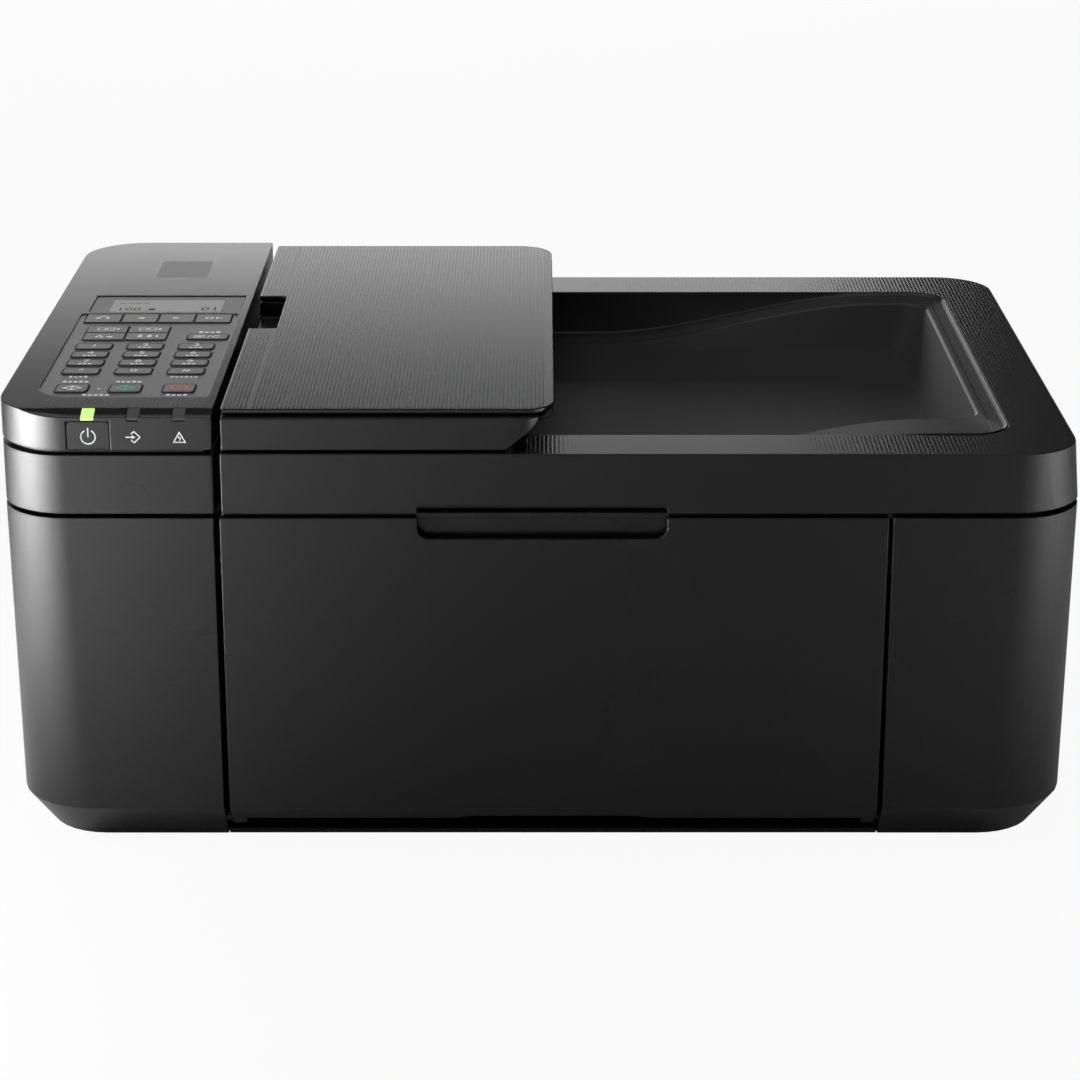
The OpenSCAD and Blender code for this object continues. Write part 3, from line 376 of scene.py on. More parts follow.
# %% Glass
def glass(name, color):
    material = bpy.data.materials.new(name)
    material.use_nodes = True
    shader = material.node_tree.nodes["Principled BSDF"]
    shader.inputs["Base Color"].default_value = (*color, 1)
    shader.inputs["Roughness"].default_value = 0.02
    shader.inputs["Transmission Weight"].default_value = 1.0
    return material


GLASS = glass("float_glass", (0.85, 0.95, 0.93))
print("materials:", len(bpy.data.materials))

# %% [markdown]
# ## Piece helpers
# A piece is made from points in metres, with its place in its mesh. `place_piece` says which body
# it rides on and which working part it stands for.


# %% Make and place pieces
def new_piece(name, points, faces, material, smooth=False):
    mesh = bpy.data.meshes.new(name)
    mesh.from_pydata([tuple(p) for p in points], [], faces)
    builder = bmesh.new()
    builder.from_mesh(mesh)
    bmesh.ops.recalc_face_normals(builder, faces=builder.faces)
    builder.to_mesh(mesh)
    builder.free()
    mesh.materials.append(material)
    for face in mesh.polygons:
        face.use_smooth = smooth
    piece = bpy.data.objects.new(name, mesh)
    scene.collection.objects.link(piece)
    return piece


# %% Bodies of the working parts
BODY_OF = {node: body for body, members in frame["record"]["behaviour"]["bodies"].items()
           for node in members}


def place_piece(piece, node, stands_for=False):
    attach(piece, BODY_OF[node])
    if stands_for:
        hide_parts(node)
    return piece


def applied(piece):
    """Turns the piece's modifiers into plain mesh."""
    bpy.context.view_layer.update()
    result = bpy.data.meshes.new_from_object(
        piece.evaluated_get(bpy.context.evaluated_depsgraph_get()))
    old = piece.data
    piece.modifiers.clear()
    piece.data = result
    bpy.data.meshes.remove(old)
    return piece


# %% [markdown]
# ### Rounded edges
# A real moulding never has a knife edge, and it is the thin bright line along each edge that makes
# black plastic readable. A working part keeps its mesh, so each visible shell is a copy with its
# doubles merged, its flat faces joined and every sharp edge rounded by a Bevel modifier. A corner
# that the bevel throws off the part is put back on its surface.


# %% Soften a shell
def softened(node, material, width, segments=2, angle=30):
    source = frame["nodes"][node]
    mesh = source.data.copy()
    builder = bmesh.new()
    builder.from_mesh(mesh)
    bmesh.ops.remove_doubles(builder, verts=builder.verts, dist=2e-6)
    bmesh.ops.dissolve_limit(builder, angle_limit=math.radians(0.5), verts=builder.verts,
                             edges=builder.edges)
    builder.to_mesh(mesh)
    builder.free()
    mesh.materials.clear()
    mesh.materials.append(material)
    piece = bpy.data.objects.new(f"{node}_shell", mesh)
    scene.collection.objects.link(piece)
    bevel = piece.modifiers.new("edge", "BEVEL")
    bevel.width = width
    bevel.segments = segments
    bevel.limit_method = "ANGLE"
    bevel.angle_limit = math.radians(angle)
    bevel.use_clamp_overlap = False
    bevel.miter_outer = "MITER_ARC"
    bevel.harden_normals = True
    mesh.shade_smooth()
    weigh = piece.modifiers.new("even", "WEIGHTED_NORMAL")
    weigh.keep_sharp = True
    weigh.weight = 100
    applied(piece)
    for vertex in piece.data.vertices:
        near = source.closest_point_on_mesh(vertex.co)[1]
        if (near - vertex.co).length > 1.2 * width:
            vertex.co = near
    return place_piece(piece, node, stands_for=True)


shells = {}
for node, material, width in (("main_case", SATIN, 0.45 * MM), ("front_cover", SATIN, 0.5 * MM),
                              ("scanner_frame", SATIN, 0.45 * MM),
                              ("document_cover", LID, 0.5 * MM), ("adf_cover", SATIN, 0.5 * MM),
                              ("document_tray", TRAY, 0.5 * MM),
                              ("operation_panel", PANEL, 0.25 * MM),
                              ("key_plate", PLATE, 0.15 * MM), ("power_button", PANEL, 0.3 * MM)):
    shells[node] = softened(node, material, width)
    print(node, len(shells[node].data.polygons), "faces")

# %% [markdown]
# Two flat faces get a finish of their own: the rim of the document cover is ribbed with painted
# shade between its ribs, and the plate of the tray is a little duller than the ribs that stand on
# it and darker, a painted shade between the ribs.

# %% The flat rim of the document cover
lid_mesh = shells["document_cover"].data
lid_mesh.materials.append(RIM)
rim_faces = [f for f in lid_mesh.polygons
             if f.normal.z > 0.99 and f.center.z > LID_TOP - 0.2 * MM and f.area > 2e-5]
for face in rim_faces:
    face.material_index = 1
print("rim faces:", len(rim_faces))

# %% The plate of the tray
tray_mesh = shells["document_tray"].data
tray_mesh.materials.append(TROUGH_SHADE)
# The plate between the ribs gets the darker finish: painted shade between the ribs.
trough_shade_faces = [f for f in tray_mesh.polygons
              if f.normal.z > 0.99 and f.center.z > tray_high.z - 0.4 * MM and f.area > 2e-5]
for face in trough_shade_faces:
    face.material_index = 1
print("tray faces:", len(trough_shade_faces))

# %% [markdown]
# ### The sculpted output recess
# The ejected sheets lie in a recess whose edges lift them: low shelves start level with the floor
# in the middle and sweep up to the right. The working part has these shelves in steps. The visible
# liner is one smooth closed skin, made of rings that all have the same number of points: rim, wall,
# shelf, inner wall, floor. The two narrow strips where the wall meets the shelf and where the shelf
# turns down are glossier, so they catch a fine line of light.


# %% Recess liner
def smooth_step(t):
    t = min(max(t, 0.0), 1.0)
    return t * t * (3 - 2 * t)


def recess_liner():
    left, right = -22.8, lid_high.x / MM - 27.15
    front, rear = lid_low.y / MM + 27.15, lid_high.y / MM - 31.15
    floor, top = 151.75, LID_TOP / MM - 0.35
    radius = 16.0
    shelf_rise, shelf_start, shelf_run = 19.2, 26.9, 131.6
    fillet, skin_depth = 1.4, 0.6

    def path(inset_rear, inset_right, inset_front, corner):
        """Points from the rear left, round the right end, to the front left."""
        y1, y0, x1 = rear - inset_rear, front + inset_front, right - inset_right
        points = [(left + (x1 - corner - left) * i / 36, y1) for i in range(36)]
        points += arc_points(x1 - corner, y1 - corner, corner, 90, 0, 12)
        points += [(x1, y1 - corner + (y0 - y1 + 2 * corner) * i / 12) for i in range(1, 12)]
        points += arc_points(x1 - corner, y0 + corner, corner, 0, -90, 12)
        points += [(x1 - corner + (left - x1 + corner) * i / 36, y0) for i in range(1, 37)]
        return points

    def arc_points(x, y, r, first, last, steps):
        turn = [math.radians(first + (last - first) * i / steps) for i in range(steps + 1)]
        return [(x + r * math.cos(t), y + r * math.sin(t)) for t in turn]

    def shelf(x):
        return floor + shelf_rise * smooth_step((x - shelf_start) / shelf_run)

    def drop(x):
        return shelf(x) - floor

    back = path(0, 0, 0, radius)
    outer = path(0.4, 0.4, 0.4, radius - 0.4)
    near = path(1.8, 1.8, 1.8, radius - 1.6)
    inner = path(17, 9, 26, 12)
    turned = path(18.2, 10.2, 27.2, 11)
    foot = path(31, 20, 33, 8)
    toe = path(34, 23, 36, 6)
    rows = [[(x, y, top) for x, y in outer],
            [(x, y, shelf(x) + fillet) for x, y in outer],
            [(x, y, shelf(x)) for x, y in near],
            [(x, y, shelf(x)) for x, y in inner],
            [(x, y, shelf(x) - 0.04 * drop(x)) for x, y in turned],
            [(x, y, floor + 0.10 * drop(x)) for x, y in foot],
            [(x, y, floor + 0.01 * drop(x)) for x, y in toe]]
    n = len(outer)
    skin = [[(x, y, floor - skin_depth) for x, y in back], [(x, y, top) for x, y in back]]
    points = [(x * MM, y * MM, z * MM) for row in rows + skin for x, y, z in row]
    faces = []
    total = len(rows) + 2
    for r in range(total):
        a, b = r * n, ((r + 1) % total) * n
        if r == len(rows) - 1:
            continue
        for i in range(n - 1):
            faces.append([a + i, a + i + 1, b + i + 1, b + i])
    last, under = (len(rows) - 1) * n, len(rows) * n
    for i in range(n // 2):
        j = n - 1 - i
        if j - 1 > i + 1:
            faces.append([last + i, last + i + 1, last + j - 1, last + j])
            faces.append([under + i, under + i + 1, under + j - 1, under + j])
        elif j - 1 == i + 1:
            faces.append([last + i, last + i + 1, last + j])
            faces.append([under + i, under + i + 1, under + j])
    inside = [r * n for r in range(len(rows))]
    inside += [r * n + n - 1 for r in reversed(range(len(rows)))]
    faces.append(inside + [under + 2 * n - 1, under + n - 1, under, under + n])
    piece = new_piece("recess_liner", points, faces, RECESS, smooth=True)
    piece.data.materials.append(EDGE)
    for strip in (1, 3):
        for face in piece.data.polygons[strip * (n - 1):(strip + 1) * (n - 1)]:
            face.material_index = 1
    return piece


liner = recess_liner()
check = bmesh.new()
check.from_mesh(liner.data)
print("liner open edges:", sum(not e.is_manifold for e in check.edges))
check.free()
liner.data.set_sharp_from_angle(angle=math.radians(50))
place_piece(liner, "document_cover")

# %% [markdown]
# ### Ribs of the tray and of the panel
# The document tray is covered by low ribs that run from front to back and follow its rounded
# corners. They repeat, so Geometry Nodes sets them out: a line of points, one bar on each, and the
# length of each bar worked out from the corner radius at its place.


# %% Rib tree
def rib_tree():
    tree = bpy.data.node_groups.new("rib_row", "GeometryNodeTree")
    face = tree.interface
    face.new_socket("Geometry", in_out="OUTPUT", socket_type="NodeSocketGeometry")
    face.new_socket("Count", in_out="INPUT", socket_type="NodeSocketInt").default_value = 10
    for name in ("Start", "Pitch", "Wide", "High", "Level", "Front", "Rear", "End",
                 "Front radius", "Rear radius"):
        face.new_socket(name, in_out="INPUT", socket_type="NodeSocketFloat")
    face.new_socket("Finish", in_out="INPUT", socket_type="NodeSocketMaterial")
    nodes, links = tree.nodes, tree.links
    start = nodes.new("NodeGroupInput")
    end = nodes.new("NodeGroupOutput")

    def calc(operation, *values):
        node = nodes.new("ShaderNodeMath")
        node.operation = operation
        for socket, value in zip(node.inputs, values):
            if isinstance(value, (int, float)):
                socket.default_value = value
            else:
                links.new(value, socket)
        return node.outputs[0]

    def vector(x, y, z):
        node = nodes.new("ShaderNodeCombineXYZ")
        for socket, value in zip(node.inputs, (x, y, z)):
            if isinstance(value, (int, float)):
                socket.default_value = value
            else:
                links.new(value, socket)
        return node.outputs[0]

    index = nodes.new("GeometryNodeInputIndex").outputs[0]
    place = calc("ADD", start.outputs["Start"], calc("MULTIPLY", index, start.outputs["Pitch"]))

    def cut(radius):
        """How much shorter a rib is where its corner rounds off."""
        into = calc("MAXIMUM", calc("SUBTRACT", place, calc("SUBTRACT", start.outputs["End"],
                                                            radius)), 0.0)
        inner = calc("SUBTRACT", calc("MULTIPLY", radius, radius), calc("MULTIPLY", into, into))
        return calc("SUBTRACT", radius, calc("SQRT", calc("MAXIMUM", inner, 0.0)))

    front = calc("ADD", start.outputs["Front"], cut(start.outputs["Front radius"]))
    rear = calc("SUBTRACT", start.outputs["Rear"], cut(start.outputs["Rear radius"]))
    line = nodes.new("GeometryNodeMeshLine")
    links.new(start.outputs["Count"], line.inputs["Count"])
    spots = nodes.new("GeometryNodeMeshToPoints")
    links.new(line.outputs["Mesh"], spots.inputs["Mesh"])
    middle = calc("MULTIPLY", calc("ADD", front, rear), 0.5)
    links.new(vector(place, middle, start.outputs["Level"]), spots.inputs["Position"])
    bar = nodes.new("GeometryNodeMeshCube")
    bar.inputs["Size"].default_value = (1, 1, 1)
    repeat = nodes.new("GeometryNodeInstanceOnPoints")
    links.new(spots.outputs[0], repeat.inputs["Points"])
    links.new(bar.outputs["Mesh"], repeat.inputs["Instance"])
    links.new(vector(start.outputs["Wide"], calc("SUBTRACT", rear, front),
                     start.outputs["High"]), repeat.inputs["Scale"])
    real = nodes.new("GeometryNodeRealizeInstances")
    finish = nodes.new("GeometryNodeSetMaterial")
    links.new(repeat.outputs[0], real.inputs[0])
    links.new(real.outputs[0], finish.inputs["Geometry"])
    links.new(start.outputs["Finish"], finish.inputs["Material"])
    links.new(finish.outputs[0], end.inputs[0])
    return tree


RIBS = rib_tree()
print("rib inputs:", [i.name for i in RIBS.interface.items_tree if i.in_out == "INPUT"])


# %% Rib rows
def rib_row(name, node, finish, **values):
    """One row of ribs, turned into plain mesh, that rides with a working part."""
    piece = new_piece(name, [(0, 0, 0)], [], finish)
    ribs = piece.modifiers.new("ribs", "NODES")
    ribs.node_group = RIBS
    keys = {i.name: i.identifier for i in RIBS.interface.items_tree if i.in_out == "INPUT"}
    ribs[keys["Finish"]] = finish
    for label, value in values.items():
        ribs[keys[label.replace("_", " ")]] = value
    applied(piece)
    return place_piece(piece, node)


RIB_PITCH = 1.6 * MM
RIB_WIDE = 0.62 * MM
RIB_HIGH = 0.30 * MM


def rib_count(start, stop):
    return int((stop - start) / RIB_PITCH)


tray_radius = (12 * MM, 16 * MM)
notch_x = tray_low.x + 12.9 * MM
notch_y = (-15.9 * MM, 42.9 * MM)
edge = 1.6 * MM
for name, x0, x1, y0, y1 in (
        ("tray_ribs", notch_x, tray_high.x - edge, tray_low.y + edge, tray_high.y - edge),
        ("tray_ribs_front", tray_low.x + edge, notch_x - edge / 2, tray_low.y + edge, notch_y[0]),
        ("tray_ribs_rear", tray_low.x + edge, notch_x - edge / 2, notch_y[1],
         tray_high.y - edge)):
    rib_row(name, "document_tray", TRAY, Count=rib_count(x0, x1), Start=x0, Pitch=RIB_PITCH,
            Wide=RIB_WIDE, High=RIB_HIGH, Level=tray_high.z, Front=y0, Rear=y1,
            End=tray_high.x - edge, Front_radius=tray_radius[0], Rear_radius=tray_radius[1])
strip_x = (plate_low.x + 5 * MM, plate_high.x + 1.5 * MM)
# These ribs take the darker finish: painted shade that draws the lines between them.
rib_row("panel_ribs", "operation_panel", TROUGH_SHADE, Count=rib_count(*strip_x), Start=strip_x[0],
        Pitch=RIB_PITCH, Wide=RIB_WIDE, High=RIB_HIGH, Level=panel_high.z,
        Front=FRONT + 7.2 * MM, Rear=plate_low.y - 1.2 * MM, End=1.0, Front_radius=0.0,
        Rear_radius=0.0)

# %% [markdown]
# ## Display and lights
# A dark window sits in its seat with a pale display behind it. The display shows a page size as
# bars, a scale and a count. Of the three light pipes on the front edge the left one is lit.


# %% Closed plates and rings from outlines
class Marks:
    """Thin closed solids gathered into one piece. An outline is in millimetres on its face."""

    def __init__(self, level, face="top", high=0.05):
        self.level, self.face, self.high = level, face, high * MM
        self.points, self.faces = [], []

    def _lift(self, outline):
        first = len(self.points)
        for up in (-0.02 * MM, self.high):
            for a, b in outline:
                if self.face == "top":
                    self.points.append((a * MM, b * MM, self.level + up))
                else:
                    self.points.append((a * MM, self.level - up, b * MM))
        return first

    def plate(self, outline):
        n, first = len(outline), self._lift(outline)
        self.faces.append([first + i for i in reversed(range(n))])
        self.faces.append([first + n + i for i in range(n)])
        for i in range(n):
            j = (i + 1) % n
            self.faces.append([first + i, first + j, first + n + j, first + n + i])
        return self

    def ring(self, outer, inner, closed=True):
        n = len(outer)
        a, b = self._lift(outer), self._lift(inner)
        for i in range(n if closed else n - 1):
            j = (i + 1) % n
            self.faces += [[a + i, a + j, b + j, b + i],
                           [a + n + i, b + n + i, b + n + j, a + n + j],
                           [a + i, a + n + i, a + n + j, a + j],
                           [b + i, b + j, b + n + j, b + n + i]]
        if not closed:
            self.faces += [[a, b, b + n, a + n],
                           [a + n - 1, a + 2 * n - 1, b + 2 * n - 1, b + n - 1]]
        return self

    def bar(self, x, y, wide, high):
        return self.plate([(x - wide / 2, y - high / 2), (x + wide / 2, y - high / 2),
                           (x + wide / 2, y + high / 2), (x - wide / 2, y + high / 2)])

    def circle(self, x, y, radius, steps=16):
        return self.plate(arc(x, y, radius, 0, 360 - 360 / steps, steps))

    def piece(self, name, material, node):
        return place_piece(new_piece(name, self.points, self.faces, material), node)


def arc(x, y, radius, first, last, steps):
    turn = [math.radians(first + (last - first) * i / (steps - 1)) for i in range(steps)]
    return [(x + radius * math.cos(t), y + radius * math.sin(t)) for t in turn]


def scaled(outline, factor):
    """The same outline about its middle."""
    cx = sum(p[0] for p in outline) / len(outline)
    cy = sum(p[1] for p in outline) / len(outline)
    return [(cx + (x - cx) * factor, cy + (y - cy) * factor) for x, y in outline]


def written(name, words, size, x, y, level, material, node, high=0.05 * MM, stretch=1.0):
    """Raised digits, centred on a place in millimetres."""
    curve = bpy.data.curves.new(name, "FONT")
    curve.body = words
    curve.size = size * MM
    curve.align_x = "CENTER"
    curve.align_y = "CENTER"
    curve.extrude = high
    curve.resolution_u = 3
    holder = bpy.data.objects.new(name, curve)
    scene.collection.objects.link(holder)
    bpy.context.view_layer.update()
    mesh = bpy.data.meshes.new_from_object(
        holder.evaluated_get(bpy.context.evaluated_depsgraph_get()))
    bpy.data.objects.remove(holder)
    mesh.transform(Matrix.Translation((x * MM, y * MM, level)) @ Matrix.Diagonal(
        (stretch, 1, 1, 1)))
    builder = bmesh.new()
    builder.from_mesh(mesh)
    bmesh.ops.remove_doubles(builder, verts=builder.verts, dist=1e-6)
    bmesh.ops.recalc_face_normals(builder, faces=builder.faces)
    builder.to_mesh(mesh)
    builder.free()
    mesh.materials.clear()
    mesh.materials.append(material)
    piece = bpy.data.objects.new(name, mesh)
    scene.collection.objects.link(piece)
    return place_piece(piece, node)


print("mark tools ready")

# %% Window and display
window_low, window_high = [Vector(c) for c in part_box("panel_windows")]
px0, px1 = window_low.x / MM, window_high.x / MM
wy0, wy1 = plate_high.y / MM + 3.8, window_high.y / MM - 0.1
pane = Marks(window_high.z - 1.0 * MM, high=0.75)
pane.plate([(px0 + 0.3, wy0), (px1 - 0.3, wy0), (px1 - 0.3, wy1), (px0 + 0.3, wy1)])
window = pane.piece("window_pane", BEZEL, "panel_windows")
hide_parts("panel_windows")
glass_level = window_high.z - 0.25 * MM
lcd_x0, lcd_x1, lcd_y0, lcd_y1 = px0 + 8.8, px1 - 9.0, wy0 + 0.3, wy0 + 21.5
Marks(glass_level, high=0.06).plate([(lcd_x0, lcd_y0), (lcd_x1, lcd_y0), (lcd_x1, lcd_y1),
                                     (lcd_x0, lcd_y1)]).piece("display", SCREEN, "panel_windows")
ink = Marks(glass_level + 0.06 * MM, high=0.03)
for i, wide in enumerate((2.6, 2.6, 2.6, 2.2)):
    ink.bar(lcd_x0 + 4.5 + i * 3.4, lcd_y0 + 15.2, wide, 0.7)
ink.bar(lcd_x0 + 18.6, lcd_y0 + 4.3, 3.0, 3.6)
ink.piece("display_bars", SEGMENT, "panel_windows")
written("display_scale", "100", 7.4, lcd_x0 + 8.2, lcd_y0 + 4.6, glass_level + 0.06 * MM, SEGMENT,
        "panel_windows", high=0.03 * MM)
written("display_count", "01", 8.6, lcd_x1 - 5.2, lcd_y0 + 5.2, glass_level + 0.06 * MM, SEGMENT,
        "panel_windows", high=0.03 * MM)

# %% Light pipes on the front edge
PIPES = (("power", -179.5, LED_ON), ("data", -161.4, LED_OFF), ("alarm", -143.4, LED_OFF))
PIPE_HALF = 2.45 * MM
for name, x, finish in PIPES:
    top, low = panel_high.z + 0.05 * MM, panel_high.z - 3.1 * MM
    profile = [(FRONT - 0.05 * MM, low), (FRONT - 0.05 * MM, top - 2.2 * MM),
               (FRONT + 6.5 * MM, top), (FRONT + 6.5 * MM, top - 1 * MM), (FRONT + 2 * MM, low)]
    points = [(x * MM + side * PIPE_HALF, y, z) for side in (-1, 1) for y, z in profile]
    n = len(profile)
    faces = [list(range(n)), list(range(n, 2 * n))] + [
        [i, (i + 1) % n, n + (i + 1) % n, n + i] for i in range(n)]
    pipe = place_piece(new_piece(f"light_{name}", points, faces, finish), "panel_windows")
    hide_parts("panel_windows")
print("window and light pipes placed")

# %% [markdown]
# ## Legends
# The keys carry digits, simple signs and short bars in place of words. They are thin solids that
# stand a few hundredths of a millimetre proud, so they never flicker against the key's own face,
# and each rides with its key when that is pressed.

# %% Key legends
for i, digit in enumerate("123456789*0#"):
    node = f"number_key_{i + 1}"
    low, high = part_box(node)
    cx, cy = (low[0] + high[0]) / 2 / MM, (low[1] + high[1]) / 2 / MM
    lettered = digit in "23456789"
    written(f"digit_{i + 1}", digit, 5.6, cx, cy + (1.9 if lettered else 0.3), high[2], LEGEND_GLOW,
            node, stretch=1.1)
    if lettered:
        row = Marks(high[2])
        for step in (-1, 0, 1):
            row.bar(cx + step * 2.0, cy - 2.4, 1.5, 1.5)
        row.piece(f"letters_{i + 1}", LEGEND_GLOW, node)


def centre(node):
    low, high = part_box(node)
    return (low[0] + high[0]) / 2 / MM, (low[1] + high[1]) / 2 / MM, high[2]


for i in range(4):
    node = f"soft_key_{i + 1}"
    x, y, z = centre(node)
    sign = Marks(z)
    if i == 0:
        sign.ring(arc(x, y, 2.6, -60, 170, 14), arc(x, y, 1.8, -60, 170, 14), closed=False)
        sign.plate([(x - 4.0, y + 0.4), (x - 1.2, y + 0.4), (x - 2.6, y - 1.8)])
    elif i in (1, 2):
        turn = -1 if i == 1 else 1
        sign.plate([(x - turn * 1.7, y - 1.7), (x + turn * 1.7, y), (x - turn * 1.7, y + 1.7)])
    else:
        sign.ring(arc(x - 1.8, y, 2.0, 0, 337.5, 16), arc(x - 1.8, y, 1.3, 0, 337.5, 16))
        sign.bar(x + 1.6, y, 0.7, 3.8)
        sign.bar(x + 2.9, y, 2.0, 0.8)
    sign.piece(f"soft_sign_{i + 1}", LEGEND_GLOW, node)
for i in range(4):
    node = f"mode_key_{i + 1}"
    x, y, z = centre(node)
    sign = Marks(z)
    if i == 2:
        sign.ring([(x - 4, y - 2), (x, y - 2), (x - 2, y + 2.2)],
                  [(x - 3.0, y - 1.4), (x - 1.0, y - 1.4), (x - 2, y + 0.9)])
        sign.bar(x + 2.4, y - 1, 2.6, 1.6)
    else:
        for shift in (-2.6, 1.4):
            page = [(x + shift - 1.8, y - 2), (x + shift + 1.8, y - 2), (x + shift + 1.8, y + 2),
                    (x + shift - 1.8, y + 2)]
            if i == 3:
                sign.bar(x + shift, y - 0.4, 2.0, 2.6).circle(x + shift, y + 1.8, 0.8)
            else:
                sign.ring(page, scaled(page, 0.72))
        sign.bar(x + 4.6, y, 1.2, 2.6)
    sign.piece(f"mode_sign_{i + 1}", LEGEND_GLOW, node)
x, y, z = centre("menu_key")
sign = Marks(z)
page = [(x - 6, y - 2), (x - 1.4, y - 2), (x - 1.4, y + 2), (x - 6, y + 2)]
sign.ring(page, scaled(page, 0.8)).bar(x - 3.7, y + 0.6, 2.6, 0.6).bar(x - 3.7, y - 0.7, 2.6, 0.6)
sign.plate([(x - 0.3, y - 2), (x + 0.3, y - 2), (x + 1.3, y + 2), (x + 0.7, y + 2)])
sign.ring(arc(x + 3.6, y - 0.2, 1.9, 20, 330, 14), arc(x + 3.6, y - 0.2, 1.3, 20, 330, 14),
          closed=False).piece("menu_sign", LEGEND_GLOW, "menu_key")


def diamond(x, y, wide, high):
    return [(x - wide, y), (x, y - high), (x + wide, y), (x, y + high)]


for node, finish in (("start_black_key", LEGEND_GLOW), ("start_color_key", GREEN_GLOW)):
    x, y, z = centre(node)
    shape = diamond(x, y, 4.2, 3.4)
    sign = Marks(z).ring(shape, scaled(shape, 0.72)).bar(x, y, 0.7, 4.4)
    sign.piece(f"{node}_sign", finish, node)
x, y, z = centre("stop_key")
shape = [(x - 3.6, y + 1.2), (x - 2.2, y + 3.2), (x + 2.2, y + 3.2), (x + 3.6, y + 1.2),
         (x + 3.0, y - 1.6), (x + 1.2, y - 3.2), (x - 1.2, y - 3.2), (x - 3.0, y - 1.6)]
Marks(z).ring(shape, scaled(shape, 0.74)).plate([(x - 1.8, y + 0.9), (x, y - 1.4), (
    x + 1.8, y + 0.9)]).piece("stop_sign", RED_GLOW, "stop_key")

# %% [markdown]
# Each key's top is framed by a fine dark line, painted shade for the gap around the key, which is
# how such a flat keypad reads from afar.

# %% Painted shade lines around the keys
def rounded(x0, x1, y0, y1, radius, steps=5):
    """A rectangle with round corners, in millimetres."""
    outline = []
    for cx, cy, first in ((x1 - radius, y1 - radius, 0), (x0 + radius, y1 - radius, 90),
                          (x0 + radius, y0 + radius, 180), (x1 - radius, y0 + radius, 270)):
        outline += arc(cx, cy, radius, first, first + 90, steps)
    return outline


def gap_shade_ring(node, wide=0.42, radius=1.6, inset=0.05):
    """A dark ring of painted shade along the edge of a key's top, which rides with the key."""
    low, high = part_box(node)
    x0, x1 = low[0] / MM + inset, high[0] / MM - inset
    y0, y1 = low[1] / MM + inset, high[1] / MM - inset
    Marks(high[2], high=0.02).ring(
        rounded(x0, x1, y0, y1, radius),
        rounded(x0 + wide, x1 - wide, y0 + wide * 1.5, y1 - wide * 1.5, radius - wide / 2)
    ).piece(f"{node}_line", GAP_SHADE, node)


for i in range(12):
    gap_shade_ring(f"number_key_{i + 1}")
for i in range(4):
    gap_shade_ring(f"soft_key_{i + 1}", wide=0.3, radius=0.6)
    gap_shade_ring(f"mode_key_{i + 1}", wide=0.3, radius=0.6)
for node in ("menu_key", "start_black_key", "start_color_key", "stop_key"):
    gap_shade_ring(node)

# %% Printed bars on the plate
bars = Marks(plate_high.z, high=0.04)


def word(x, y, letters, size=1.7, step=2.05):
    """A row of small blocks where the object has a word."""
    for i in range(letters):
        tall = size * (1.35 if i % 3 == 0 else 1.0)
        bars.bar(x + (i - (letters - 1) / 2) * step, y + (tall - size) / 2, size * 0.82, tall)


keys_x = [centre(f"number_key_{i}")[0] for i in (1, 2, 3)]
start_row = centre("stop_key")[1]
word(centre("menu_key")[0], centre("menu_key")[1] + 8.2, 4, 2.1, 2.5)
last_row = centre("number_key_10")[1]
word(keys_x[0], last_row - 8.3, 4)
word(keys_x[2], last_row - 8.3, 6, 1.6, 1.95)
word(keys_x[0], start_row + 10.2, 5, 1.9, 2.2)
word(keys_x[1], start_row + 10.2, 5, 1.9, 2.2)
word((keys_x[0] + keys_x[1]) / 2, start_row - 9.4, 5, 1.9, 2.3)
word(keys_x[2], start_row - 9.4, 4, 1.9, 2.3)
bars.circle((keys_x[0] + keys_x[1]) / 2, start_row, 0.7)
bars.piece("plate_print", LEGEND_GLOW, "key_plate")

# %% [markdown]
# The front face has three signs: power on the button, and data and alarm under their light pipes.

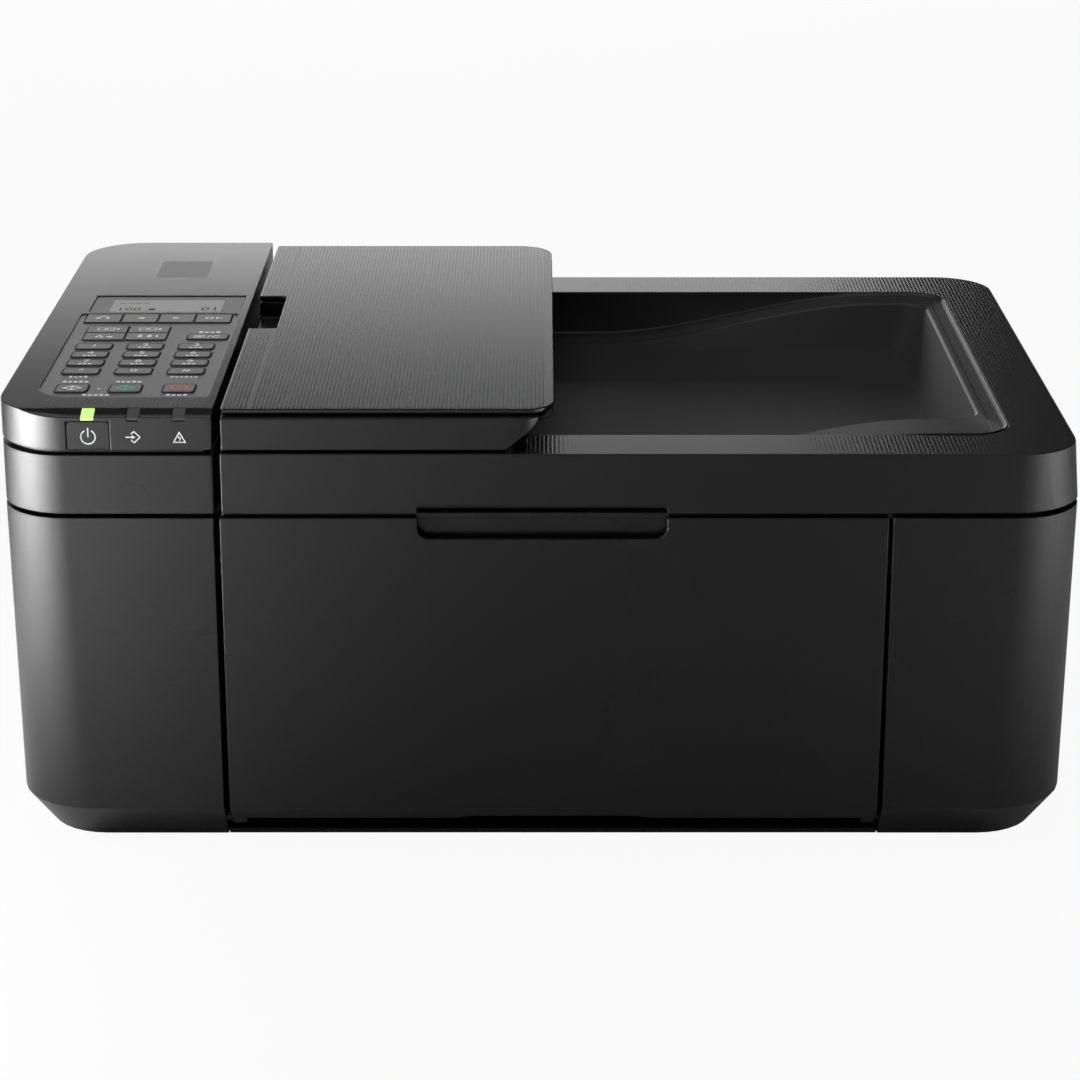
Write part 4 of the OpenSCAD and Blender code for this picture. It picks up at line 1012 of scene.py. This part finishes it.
# %% Signs on the front face
button_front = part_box("power_button")[0][1]
bx, bz = -179.35, 178.9
power = Marks(button_front, face="front", high=0.04)
power.ring(arc(bx, bz, 3.1, 118, 422, 28), arc(bx, bz, 2.6, 118, 422, 28), closed=False)
power.bar(bx, bz + 1.9, 0.55, 3.8).piece("power_sign", LEGEND_GLOW, "power_button")
front = Marks(FRONT, face="front", high=0.04)
ax, az = -161.0, 179.0
chevron = [(ax - 1.4, az + 1.5), (ax, az + 2.6), (ax + 2.6, az), (ax, az - 2.6),
           (ax - 1.4, az - 1.5)]
front.ring(chevron, [(x - 0.15, az + (z - az) * 0.78) if abs(z - az) > 1.7 else
                     (x - 0.65 if x > ax else x + 0.45, az + (z - az) * 0.72)
                     for x, z in chevron], closed=False)
front.bar(ax - 2.2, az, 2.4, 0.45)
front.plate([(ax - 1.0, az - 0.8), (ax + 0.5, az), (ax - 1.0, az + 0.8)])
tx, tz = -143.2, 178.8
front.ring([(tx - 2.7, tz - 2.1), (tx + 2.7, tz - 2.1), (tx, tz + 2.6)],
           [(tx - 1.95, tz - 1.7), (tx + 1.95, tz - 1.7), (tx, tz + 1.7)])
front.plate([(tx - 0.35, tz + 0.9), (tx + 0.25, tz - 0.1), (tx + 0.6, tz - 0.1),
             (tx + 0.3, tz - 1.2), (tx + 0.05, tz - 1.2), (tx + 0.1, tz - 0.4),
             (tx - 0.6, tz - 0.2)])
front.piece("front_signs", LEGEND_GLOW, "operation_panel")
# A plain patch where the object has its printed mark
Marks(panel_high.z, high=0.03).plate([(-178.7, 77), (-155.3, 77), (-155.3, 108), (
    -178.7, 108)]).piece("panel_patch", PLATE, "operation_panel")
print("legends done")

# %% [markdown]
# ## Finishes of the other working parts
# Parts whose shape is already right keep their mesh and only get a finish.

# %% Give each remaining part its finish
FINISH = {"base_pan": INNER, "feet": RUBBER, "front_guide": INNER, "output_tray": INNER,
          "output_extension": INNER, "guide_left": INNER, "guide_right": INNER,
          "pick_roller": RUBBER, "feed_roller": STEEL, "exit_roller": RUBBER,
          "carriage": INNER, "ink_cartridges": SATIN, "chassis_frame": STEEL,
          "drive_belt": RUBBER, "carriage_motor": STEEL, "drive_pulley": ALLOY,
          "service_station": INNER, "rear_cover": SATIN, "power_supply": INNER,
          "main_board": BOARD, "platen_glass": GLASS, "scan_bar": INNER, "platen_pad": FOAM,
          "panel_windows": LED_OFF, "document_guide_front": INNER, "document_guide_rear": INNER,
          "adf_roller": RUBBER}
for node, item in frame["nodes"].items():
    if node in shells:
        continue
    item.data.materials.clear()
    item.data.materials.append(FINISH.get(node, KEY))
print("finished parts:", len(FINISH))
